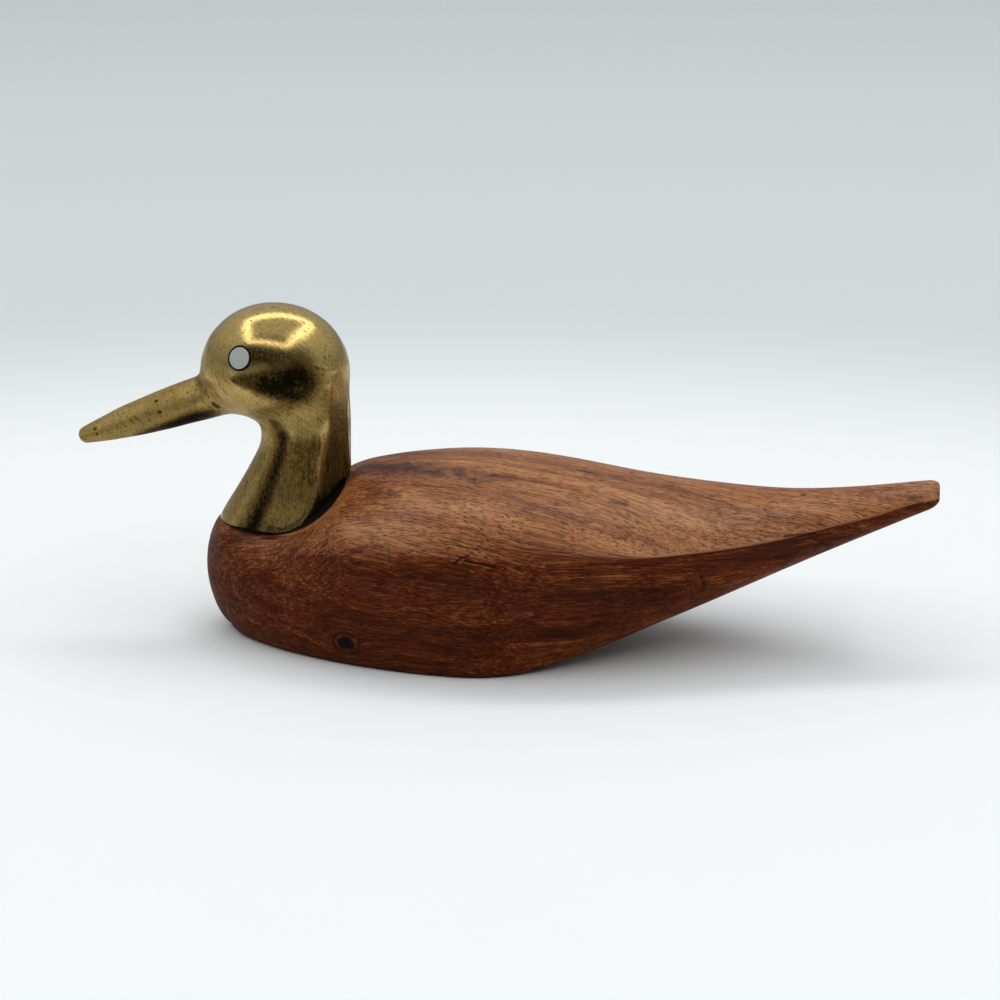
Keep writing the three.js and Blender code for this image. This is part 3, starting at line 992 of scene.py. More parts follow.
    def grain(self, coat: Coat) -> tuple[Socket, Socket, Socket, Socket]:
        """Bends space so that the grain leans, wanders and flows round the knot.

        Args:
            coat: the material's writer.

        Returns:
            The knot's dark core, its dark ring, the place in the grain's own space, and the same with the
            fibres diving towards the breast.
        """
        x, y, z = coat.split(coat.place)
        near_side = coat.step(y, *self.knot_side)
        right = coat.less(x, self.knot[0])
        above = coat.times(coat.less(z, self.knot[1]), self.knot_squash)
        square = coat.plus(coat.times(right, right), coat.times(above, above))
        far = coat.add("Math", {0: square}, operation="SQRT").outputs[0]
        grit = coat.noise(coat.place, self.knot_grit, 3.0)
        edge = coat.plus(far, coat.times(grit, self.knot_rough))
        core = coat.times(coat.step(edge, *self.knot_core, 1.0, 0.0), near_side)
        inner, outer = self.knot_ring[:2], self.knot_ring[2:]
        ring = coat.times(coat.step(edge, *inner), coat.step(edge, *outer, self.ring_depth, 0.0), near_side)
        reach = self.knot_reach**2
        soft = coat.plus(square, self.knot_soft * reach)
        push = coat.times(coat.math("DIVIDE", reach, soft), near_side)
        lift = coat.plus(coat.less(z, coat.times(above, push)), coat.times(x, self.rise))
        below = coat.less(1.0, coat.painted("top"))
        swing = coat.times(coat.most(coat.less(x, self.swing_x), 0.0), below, self.swing)
        along = coat.plus(y, coat.less(coat.times(x, self.lean), swing))
        bent = coat.add("CombineXYZ", {0: x, 1: along, 2: lift}).outputs[0]
        grain = coat.vector("ADD", bent, coat.drift(self.wander_scale, 2.0, self.wander))
        ahead = coat.math("MINIMUM", coat.less(x, self.dive_x), 0.0)
        dive = coat.add("CombineXYZ", {2: coat.times(ahead, ahead, self.dive)}).outputs[0]
        return core, ring, grain, coat.vector("ADD", grain, dive)

    def pores(self, coat: Coat, grain: Socket) -> Socket:
        """Opens the pores: dashes along the grain, and dots where the surface cuts across it.

        Args:
            coat: the material's writer.
            grain: the place in the grain's own space.

        Returns:
            A mask of the pores.
        """
        large = coat.pits(grain, self.large_pores)
        small = coat.pits(grain, self.small_pores)
        patchy = coat.span(coat.mottle(grain, self.pore_patches), self.least_pores, 1.0)
        streak = coat.strokes(grain, self.streak_lines, 2.0)
        streak = coat.step(streak, *self.streak_span, self.streak_depth, 0.0)
        return coat.most(large, coat.times(small, patchy), streak)

    def tone(self, coat: Coat, grain: Socket, top: Socket) -> Socket:
        """Sets how light the wood is: broad bands, growth lines, fine fibres, and painted light that makes
        the back paler and the flank below darker.

        Args:
            coat: the material's writer.
            grain: the place in the grain's own space.
            top: the painted light, 1 on the duck's lit back and 0 on its shaded flank below the crease.

        Returns:
            The place on the ramp of tones.
        """
        tone = coat.span(top, *self.shaded_flank_and_lit_top)
        for stretch, depth in self.figure:
            line = coat.less(coat.strokes(grain, stretch), 0.5)
            tone = coat.plus(tone, coat.times(line, depth))
        return tone

    def worn(self, coat: Coat, colour: Socket) -> tuple[Socket, Socket]:
        """Lays the marks of use over the wood.

        Args:
            coat: the material's writer.
            colour: the wood's colour without marks.

        Returns:
            The colour with marks, and a mask of the scratches.
        """
        ragged = coat.vector("ADD", coat.place, coat.drift(self.ragged_scale, 4.0, self.ragged))
        patchy = coat.span(coat.mottle(coat.place, *self.stain_patches), self.least_stain, 1.0)
        tones = {Tint.SCRATCH: self.pore_tone, Tint.STAIN: self.stain_tone, Tint.WORN: self.wear_and_highlight_tone}
        scratches: Value = 0.0
        for tint, marks in self.marks:
            for mark in marks:
                blurred = tint is not Tint.SCRATCH and mark.width > 1
                edge = self.blurred_edge if blurred else self.sharp_edge
                share = coat.mark(ragged if blurred else coat.place, mark, edge)
                share = coat.times(share, patchy) if blurred else share
                colour = coat.mix(share, colour, tones[tint])
                scratches = coat.most(scratches, share) if tint is Tint.SCRATCH else scratches
        return colour, scratches


@dataclass(frozen=True)
class AgedBrass(Finish):
    """Cast yellow brass, filed and rubbed bright where hands reach it, dark in its hollows, and darkened by
    painted reflection and shade where the casting paints them.
    """

    slot = Slot.BRASS
    bright: Colour = (0.54, 0.385, 0.14)
    dull: Colour = (0.36, 0.25, 0.082)
    # brown: tarnish, and also the painted reflection of the reddish wood on the neck's rear panels.
    brown: Colour = (0.14, 0.084, 0.022)
    # dark: deep tarnish and pits, and also the painted reflection on the cheeks and the painted shade under
    # the bill's root.
    dark: Colour = (0.009, 0.0075, 0.003)
    clouds: Pair = (0.13, 0.02)
    cloud_rubbed: float = 0.35
    cloud_tarnish: Pair = (1.06, 0.88)
    freckle_scale: float = 1.1
    freckle_depth: float = 0.3
    freckle_tarnish: Pair = (1.1, 0.85)
    brown_span: Pair = (0.0, 0.7)
    dark_span: Pair = (0.45, 1.0)
    dull_and_rubbed: Pair = (0.44, 0.14)
    fouling: float = 0.2
    satin: float = 0.13
    satin_x: Pair = (-92.0, -84.0)
    file_lean: float = -0.7
    upright_lines: Point = (1.7, 1.5, 0.14)
    slanted_lines: Point = (0.12, 1.0, 1.6)
    slanted_share: Pair = (0.1, 0.9)
    slanted_patches: Pair = (0.06, 0.1)
    least_slanted: float = 0.6
    line_span: Pair = (0.36, 0.5)
    line_depth: float = 0.8
    lines_left: Pair = (1.0, 0.45)
    line_height: float = 0.6
    line_roughness: float = 0.12
    head_z: Pair = (56.0, 68.0)
    fine_pits: Spots = Spots((0.7, 0.7, 0.7), 0.2, 0.36)
    tiny_pits: Spots = Spots((1.5, 1.5, 1.5), 0.27, 0.3)
    tiny_depth: float = 0.75
    pit_edge: float = 0.7
    pits: tuple[Mark, ...] = (
        Mark((-102.4, -5.6, 70.0), (-102.1, -5.8, 69.8), 0.75, 0.8),
        Mark((-100.8, -7.9, 67.2), (-100.5, -7.9, 67.2), 0.75, 0.8),
        Mark((-121.2, -5.3, 61.0), (-120.8, -5.6, 60.6), 1.0, 0.7),
        Mark((-120.2, -6.5, 59.5), (-120.0, -6.6, 59.3), 0.65, 0.7),
        Mark((-75.1, -7.8, 46.7), (-75.0, -7.8, 46.4), 0.5, 0.9),
        Mark((-84.2, -8.7, 70.4), (-83.1, -8.4, 69.5), 1.1, 0.8),
        Mark((-70.2, -15.8, 87.2), (-69.2, -15.7, 87.5), 0.5, 0.8),
        Mark((-72.8, -4.5, 98.0), (-70.0, -3.5, 98.6), 0.4, 0.8),
        Mark((-67.4, -3.0, 98.8), (-67.0, -3.0, 98.8), 0.6, 0.8),
    )

    def lay(self, coat: Coat) -> None:
        """Lays the finish.

        Args:
            coat: the material's writer.
        """
        cloud = coat.mottle(coat.place, *self.clouds)
        fine = coat.mottle(coat.place, self.freckle_scale)
        rubbed = coat.times(cloud, self.cloud_rubbed)
        rubbed = coat.math("ADD", coat.painted("rubbed"), rubbed, clamp=True)
        colour = coat.mix(rubbed, self.dull, self.bright)
        freckle = coat.times(coat.less(1.0, fine), self.freckle_depth)
        colour = coat.mix(freckle, colour, self.dull, "MULTIPLY")
        # The painted tarnish mask holds patina in the hollows, painted reflection and shade on the cheeks,
        # under the bill's root, in the groove and on the rear panels, and darker tones at the neck's foot
        # and sides.
        tarnish = coat.times(coat.painted("tarnish"), coat.span(cloud, *self.cloud_tarnish))
        tarnish = coat.math("MULTIPLY", tarnish, coat.span(fine, *self.freckle_tarnish), clamp=True)
        pits = self.holes(coat)
        brown = coat.step(tarnish, *self.brown_span)
        dark = coat.step(tarnish, *self.dark_span)
        for share, tone in ((brown, self.brown), (dark, self.dark), (pits, self.dark)):
            colour = coat.mix(share, colour, tone)
        brushed = self.brushing(coat)
        lines = coat.step(brushed, *self.line_span, self.line_depth, 0.0)
        lines = coat.times(lines, coat.span(rubbed, *self.lines_left))
        fouled = coat.times(coat.most(tarnish, pits), self.fouling)
        satin = coat.step(coat.split(coat.place)[0], *self.satin_x, self.satin, 0.0)
        polish = coat.span(rubbed, *self.dull_and_rubbed)
        height = coat.less(coat.times(brushed, self.line_height), pits)
        coat.put({
            "Base Color": coat.mix(lines, colour, self.dull, "MULTIPLY"),
            "Roughness": coat.plus(polish, coat.times(brushed, self.line_roughness), fouled, satin),
            "Metallic": 1.0,
            "Normal": coat.bump(height, strength=0.35, depth=0.12),
        })

    def holes(self, coat: Coat) -> Socket:
        """Pits the casting: fine pits scattered all over, and larger ones where they were seen.

        Args:
            coat: the material's writer.

        Returns:
            A mask of the pits.
        """
        fine = coat.pits(coat.place, self.fine_pits)
        tiny = coat.pits(coat.place, self.tiny_pits)
        seen = [coat.mark(coat.place, pit, self.pit_edge) for pit in self.pits]
        return coat.most(fine, coat.times(tiny, self.tiny_depth), *seen)

    def brushing(self, coat: Coat) -> Socket:
        """Draws file and polish lines: slanted ones on the head, and upright ones on the neck.

        Args:
            coat: the material's writer.

        Returns:
            The lines' height.
        """
        lean = {"Vector": coat.place, "Angle": self.file_lean}
        turned = coat.add("VectorRotate", lean, rotation_type="Y_AXIS")
        upright = coat.strokes(coat.place, self.upright_lines)
        slanted = coat.strokes(turned.outputs[0], self.slanted_lines)
        on_head = coat.step(coat.split(coat.place)[2], *self.head_z, *self.slanted_share)
        patchy = coat.span(coat.mottle(coat.place, *self.slanted_patches), self.least_slanted, 1.0)
        share = coat.times(on_head, patchy)
        return coat.add("Mix", {0: share, 2: upright, 3: slanted}, data_type="FLOAT").outputs[0]


@dataclass(frozen=True)
class WhiteShell(Finish):
    """Polished white shell with faint grey clouds."""

    slot = Slot.SHELL
    pale: Colour = (0.44, 0.47, 0.43)
    cloudy: Colour = (0.35, 0.385, 0.36)
    clouds: Pair = (0.35, 0.02)
    layers: Point = (0.3, 0.6, 1.6)
    roughness: Pair = (0.22, 0.36)

    def lay(self, coat: Coat) -> None:
        """Lays the finish.

        Args:
            coat: the material's writer.
        """
        cloud = coat.mottle(coat.place, *self.clouds)
        share = coat.times(cloud, coat.strokes(coat.place, self.layers, 2.0))
        coat.put({
            "Base Color": coat.mix(share, self.pale, self.cloudy),
            "Roughness": coat.span(cloud, *self.roughness),
            "Coat Weight": 0.4,
            "Coat Roughness": 0.12,
        })


@dataclass(frozen=True)
class BlackCompound(Finish):
    """Dull black setting compound, slightly lumpy."""

    slot = Slot.COMPOUND
    # Near-black, as dark as the shaded gap beside the neck: compound colour and painted shade.
    black: Colour = (0.0025, 0.0018, 0.0015)
    dusty: Colour = (0.006, 0.0045, 0.0035)
    dust: Pair = (0.8, 0.05)
    voids: Spots = Spots((1.2, 1.2, 1.2), 0.25, 0.4)
    roughness: Pair = (0.6, 0.85)

    def lay(self, coat: Coat) -> None:
        """Lays the finish.

        Args:
            coat: the material's writer.
        """
        dust = coat.mottle(coat.place, *self.dust)
        voids = coat.pits(coat.place, self.voids)
        coat.put({
            "Base Color": coat.mix(dust, self.black, self.dusty),
            "Roughness": coat.span(dust, *self.roughness),
            "Specular IOR Level": 0.05,
            "Normal": coat.bump(coat.less(dust, voids), strength=0.4, depth=0.1),
        })


@dataclass(frozen=True)
class PlatedSteel(Finish):
    """Dull zinc plating with turning lines and specks of rust."""

    slot = Slot.STEEL
    plating: Colour = (0.42, 0.42, 0.4)
    rust: Colour = (0.1, 0.045, 0.02)
    turning: Point = (0.5, 4.0, 4.0)
    turning_span: Pair = (0.3, 0.7)
    roughness: Pair = (0.32, 0.5)
    specks: Spots = Spots((0.9, 0.9, 0.9), 0.3, 0.35)
    speck_patches: Pair = (0.4, 0.05)

    def lay(self, coat: Coat) -> None:
        """Lays the finish.

        Args:
            coat: the material's writer.
        """
        lines = coat.strokes(coat.place, self.turning, 2.0)
        specks = coat.pits(coat.place, self.specks)
        rust = coat.times(specks, coat.mottle(coat.place, *self.speck_patches))
        coat.put({
            "Base Color": coat.mix(rust, self.plating, self.rust),
            "Roughness": coat.step(lines, *self.turning_span, *self.roughness),
            "Metallic": coat.less(1.0, rust),
            "Normal": coat.bump(lines, strength=0.3, depth=0.05),
        })


# The pieces


@dataclass(frozen=True)
class Seat:
    """The seat for the neck: a level shelf that curves up to the shoulder, sawn a little askew."""

    shelf_z: float = 34.0
    bend_x: float = -61.0
    line: Pairs = (
        (-68, 34), (-62.7, 35), (-56.2, 39), (-50.1, 44), (-45.2, 48.9), (-42.6, 52.4), (-40.4, 56),
    )
    skew: float = 0.14
    front_x: float = -140.0
    traced: tuple[float, float, int] = (-70.0, -39.0, 125)
    step: float = 0.01

    def height(self, x: Numbers, y: Numbers = 0.0) -> np.ndarray:
        """The seat's height above places on the floor, straight on behind its line.

        Args:
            x: how far along the duck they lie.
            y: how far across the duck they lie.

        Returns:
            The heights.
        """
        curve = Spline(self.line, 0)
        place = x + self.skew * y
        return curve(place) + np.maximum(place - curve.at[-1], 0) * curve.slope[-1]

    def raised(self, x: Numbers, y: Numbers, lift: Numbers) -> tuple[np.ndarray, np.ndarray]:
        """Where places on the seat come to lie when they are raised square to it.

        Args:
            x: how far along the duck they lie.
            y: how far across the duck they lie.
            lift: how far they are raised.

        Returns:
            Their new x and z.
        """
        rise = self.height(x + self.step, y) - self.height(x - self.step, y)
        turn = np.arctan(rise / (2 * self.step))
        return x - lift * np.sin(turn), self.height(x, y) + lift * np.cos(turn)

    def lifted(self, lift: float) -> np.ndarray:
        """The seat's line in side view along the middle, raised by a lift square to it."""
        x = np.concatenate([[self.front_x], np.linspace(*self.traced)])
        return np.stack(self.raised(x, 0.0, lift), -1)


@dataclass(frozen=True)
class WoodBody:
    """The carved body: rings from the breast to the tail, sawn for the neck and bored from below."""

    seat: Seat = Seat()
    tail_x: float = 127.0
    breast: Pair = (-89.3, 19.0)
    prow: Pair = (-79.3, 37.6)
    back_line: Pairs = (
        (-79.3, 37.6), (-70, 37.6), (-61.5, 38.3), (-54.5, 43), (-47.5, 48.2), (-38, 51.4), (-20, 53.6),
        (0, 54), (18, 52.6), (40, 49.6), (64, 47.7), (87, 47.4), (108, 49.6), (127, 52.2),
    )
    base_ends: Pair = (-80.9, 0.0)
    breast_turn: float = 1.65
    keel_line: Pairs = (
        (0, 0), (11, 0.5), (21, 2.2), (30, 4.3), (42, 8.2), (59, 14.9), (82, 25.3), (105, 35.7), (127, 45.6),
    )
    crease_line: Pairs = (
        (-89.3, 19), (-79, 19), (-61, 20.5), (-47, 24), (-28, 28.5), (-7, 32.5), (14, 35.2), (40, 36.3),
        (60, 36.9), (82, 38.9), (96.5, 41.7), (111.5, 45), (121.5, 48), (127, 48.6),
    )
    widest_x: float = -7.0
    half_width: float = 44.47
    side_line: Pairs = ((-7, 44.47), (29.7, 39.5), (61.7, 28), (84.7, 19.2), (114.7, 9.8), (127, 7.2))
    base_half_width: float = 39.8
    base_line: Pairs = (
        (-7, 39.8), (3, 38.2), (12, 34), (21, 28.4), (30, 22.4), (42, 15.2), (59, 9.4), (82, 5.6),
        (105, 3.5), (127, 2.4),
    )
    prow_power: float = 1.65
    side_fullness: float = 0.55
    base_fullness: float = 0.58
    tail_round: float = 3.0
    tail_shrink: float = 0.55
    tail_steps: int = 12
    tent: Point = (-20.0, 45.0, 0.85)
    flank_roll: Pairs = (
        (-89.3, 90), (-80, 86), (-62, 70), (-30, 66), (0, 68), (30, 80), (60, 84), (127, 85),
    )
    rim_round: Pair = (1.0, 2.6)
    rim_round_x: Pair = (-50.0, -44.0)
    rim_x: Pair = (-48.0, -40.0)
    rim_draw_in: float = 0.35
    rim_band: float = 0.45
    first_step: float = 0.02
    breast_steps: int = 26
    search_steps: int = 4000
    rim_steps: int = 500
    long_steps: tuple[int, int, int, int] = (60, 27, 54, 172)
    ring_steps: tuple[int, int, int, int] = (12, 64, 46, 14)
    flat_spacing: float = 0.6
    top_spacing: float = 1.3
    corner_passes: tuple[int, int, int] = (2, 3, 4)
    screw_x: float = -65.0
    bore: Pair = (2.8, 45.0)
    counterbore: Pair = (6.0, 6.0)
    bore_start: float = -4.0
    sharp_angle: float = 38.0
    # Where the painted light turns from the shaded flank to the lit back, above the crease.
    top_x: Pair = (-15.0, 50.0)
    top_low: Pair = (-4.0, -0.5)
    top_high: Pair = (17.0, 0.5)
    # Painted shade on the wood round the neck: where it is full, where it has faded, and how much it darkens
    # the lit top.
    neck_shade_reach: Pair = (32.0, 56.0)
    neck_shade_depth: float = 0.4

    def stations(self) -> np.ndarray:
        """Places the rings along the duck, close together at the breast and the seat.

        Returns:
            Their places.
        """
        close = np.linspace(self.first_step, 1, self.breast_steps) ** 2
        parts = [lerp(self.breast[0], self.seat_start(), close)]
        ends = (self.seat.bend_x, *self.rim_x, self.tail_x - self.tail_round)
        for end, steps in zip(ends, self.long_steps):
            parts.append(np.linspace(parts[-1][-1], end, steps)[1:])
        return np.concatenate(parts)

    def seat_start(self) -> float:
        """Where the seat starts along the middle of the duck."""
        x = np.linspace(self.breast[0], 0, self.search_steps)
        return float(x[np.argmax(self.section(x)["top"] > self.seat.height(x))])

    def section(self, x: np.ndarray) -> dict[str, np.ndarray]:
        """The driving sizes of the cross-sections.

        Args:
            x: places along the duck.

        Returns:
            Heights of the top, the crease and the keel, half-widths of the sides and the base, and the
            power and the angle that shape the top and the flank.
        """
        def share(start: float, end: float) -> np.ndarray:
            """How far x lies from a start towards an end in front of it."""
            return np.clip((start - x) / (start - end), 0, 1)

        breast_x, breast_z = self.breast
        prow_x, prow_z = self.prow
        nose = lerp(breast_z, prow_z, np.sqrt(1 - share(prow_x, breast_x) ** 2))
        turn = self.breast_turn
        rise = breast_z * (1 - (1 - share(self.base_ends[0], breast_x) ** turn) ** (1 / turn))
        front = 1 - share(self.widest_x, breast_x) ** self.prow_power
        front = self.half_width * front**self.side_fullness
        foot = 1 - share(self.widest_x, self.base_ends[0]) ** self.prow_power
        foot = self.base_half_width * foot**self.base_fullness
        start, end, power = self.tent
        return {
            "top": np.where(x < prow_x, nose, Spline(self.back_line, 0)(x)),
            "crease": Spline(self.crease_line)(x),
            "keel": np.where(x < self.base_ends[1], rise, Spline(self.keel_line, 0)(x)),
            "side": np.where(x < self.widest_x, front, Spline(self.side_line, 0)(x)),
            "base": np.where(x < self.widest_x, foot, Spline(self.base_line, 0)(x)),
            "tent": 1 + power * ease(x, start, end),
            "roll": np.radians(Spline(self.flank_roll)(x)),
        }

    def dome(self, x: np.ndarray, y: np.ndarray) -> np.ndarray:
        """The height of the uncut top above places on the floor.

        Args:
            x: how far along the duck they lie.
            y: how far across the duck they lie.

        Returns:
            The heights.
        """
        part = self.section(x)
        level = np.sqrt(np.clip(1 - (y / part["side"]) ** 2, 0, 1))
        return lerp(part["crease"], part["top"], level ** part["tent"])

    def rim_half_width(self, x: np.ndarray, side: Side) -> np.ndarray:
        """How far out the seat's rim lies on one side, or 0 where the seat is not cut.

        Args:
            x: a column of places along the duck.
            side: the side of the duck.

        Returns:
            A column of distances from the middle.
        """
        out = np.linspace(0, 1, self.rim_steps)[None, :] * self.section(x)["side"]
        proud = self.dome(x, out) - self.seat.height(x, side.value * out)
        count = proud.shape[1]
        last = count - 1 - np.argmax((proud > 0)[:, ::-1], axis=1)
        last = np.where((proud > 0).any(1), np.minimum(last, count - 2), 0)
        row = np.arange(len(x))
        here, there = proud[row, last], proud[row, last + 1]
        share = np.clip(here / np.where(here == there, 1, here - there), 0, 1)
        edge = lerp(out[row, last], out[row, last + 1], share)
        return np.where(here > 0, edge, 0)[:, None]

    def rim_wear(self, x: np.ndarray) -> np.ndarray:
        """How far the seat's rim is rounded over at a place along the duck: most at the nape."""
        return lerp(*self.rim_round, ease(x, *self.rim_round_x))

    def rim_spread(self, x: np.ndarray, side: Side) -> np.ndarray:
        """The rim's half-width, drawn in slowly behind the seat so that the points stay even.

        Args:
            x: a column of places along the duck.
            side: the side of the duck.

        Returns:
            A column of distances from the middle.
        """
        spread = self.rim_half_width(x, side)
        for i in range(1, len(x)):
            spread[i] = max(spread[i], spread[i - 1] - self.rim_draw_in * (x[i] - x[i - 1]))
        return spread

    def half_rings(self, x: np.ndarray, side: Side) -> np.ndarray:
        """One half of each ring of the body.

        Args:
            x: a column of places along the duck.
            side: the side of the duck.

        Returns:
            Points by ring and place: from the top's middle over the flank to the base's middle.
        """
        flat_steps, top_steps, flank_steps, base_steps = self.ring_steps
        part = self.section(x)
        rim = np.arcsin(np.clip(self.rim_spread(x, side) / part["side"], 0, 1))
        flat = np.arcsin(np.sin(rim) * np.linspace(0, 1, flat_steps + 1)[None, :] ** self.flat_spacing)
        turn = lerp(rim, math.pi / 2, np.linspace(0, 1, top_steps + 1)[None, 1:] ** self.top_spacing)
        over = part["side"] * np.sin(np.concatenate([flat, turn], 1))
        top = soft_join(self.dome(x, over), self.seat.height(x, side.value * over), self.rim_wear(x))
        under = part["roll"] * np.linspace(0, 1, flank_steps + 1)[None, 1:]
        inward = (1 - np.cos(under)) / (1 - np.cos(part["roll"]))
        down = np.sin(under) / np.sin(part["roll"])
        across = np.linspace(1, 0, base_steps + 1)[None, 1:]
        y = np.concatenate([over, lerp(part["side"], part["base"], inward), part["base"] * across], 1)
        flank = lerp(part["crease"], part["keel"], down)
        z = np.concatenate([top, flank, part["keel"] * np.ones_like(across)], 1)
        return self.soften(np.stack(np.broadcast_arrays(x, side.value * y, z), -1).copy())

    def rings(self, x: np.ndarray) -> np.ndarray:
        """Both halves of each ring: over the top, down the +Y flank, under and up again."""
        right, left = (self.half_rings(x[:, None], side) for side in (Side.RIGHT, Side.LEFT))
        return np.concatenate([right, left[:, -2:0:-1]], 1)

    def soften(self, half: np.ndarray) -> np.ndarray:
        """Rounds the seat's rim, the crease and the base's edge a little.

        Args:
            half: points by ring and place, from the top's middle to the base's middle.

        Returns:
            The same points with rounded corners.
        """
        corners = np.cumsum(self.ring_steps)[:3]
        for corner, passes in zip(corners, self.corner_passes):
            for _ in range(passes):
                near = slice(corner - 2, corner + 3)
                before = half[:, corner - 3 : corner + 2]
                after = half[:, corner - 1 : corner + 4]
                half[:, near] = (before + 2 * half[:, near] + after) / 4
        return half

    def tail_rings(self) -> np.ndarray:
        """Rounds the tail's tip over.

        Returns:
            Points by ring and place on the ring.
        """
        turn = np.radians(np.linspace(0, 90, self.tail_steps)[1:])
        x = self.tail_x - self.tail_round * (1 - np.sin(turn))
        rings = self.rings(x)
        shrink = lerp(self.tail_shrink, 1, np.cos(turn))[:, None]
        crease = self.section(x)["crease"][:, None]
        rings[..., 1] *= shrink
        rings[..., 2] = lerp(crease, rings[..., 2], shrink)
        return rings

    def build(self) -> Piece:
        """Makes the body with its bores.

        Returns:
            The piece.
        """
        rings = np.concatenate([self.rings(self.stations()), self.tail_rings()])
        made = Maker.loft("carved_body", rings)
        radius, top = self.bore
        wide, deep = self.counterbore
        low = self.bore_start
        profile = ((0, low), (wide, low), (wide, deep), (radius, deep), (radius, top), (0, top))
        cutter = Maker.turned("screw_bore", profile, sides=64)
        cutter.location.x = self.screw_x * MM
        Maker.carve(made, [cutter])
        Maker.smooth(made, self.sharp_angle)
        return made

    def dress(self, made: Piece, finish: Material) -> None:
        """Paints the rim's pale line of wear and painted highlight, and the painted light: the top paler,
        darkened as painted shade round the neck; then presents the piece.

        Args:
            made: the body.
            finish: its material.
        """
        x, y, z = Maker.points(made).T
        places = self.stations()
        rims = (self.rim_half_width(places[:, None], side)[:, 0] for side in Side)
        left, right = (np.interp(x, places, rim) for rim in rims)
        rim = np.where(y < 0, left, right)
        far = np.hypot(np.abs(y) - rim, z - self.seat.height(x, y))
        # A pale line along the seat's rim: wear and painted highlight.
        Maker.paint(made, "rim", np.where(rim > 0, np.exp(-((far / self.rim_band) ** 2)), 0))
        # Painted light: the back above the crease paler than the flank.
        above = z - self.section(x)["crease"]
        tail = ease(x, *self.top_x)
        top = ease(above, lerp(*self.top_low, tail), lerp(*self.top_high, tail))
        # Painted shade: the lit top is darkened round the neck.
        neck_shade = fade(np.hypot(x - self.screw_x, y), *self.neck_shade_reach)
        Maker.paint(made, "top", top * (1 - self.neck_shade_depth * neck_shade))
        present(made, finish, Slot.WOOD, "wood_body")


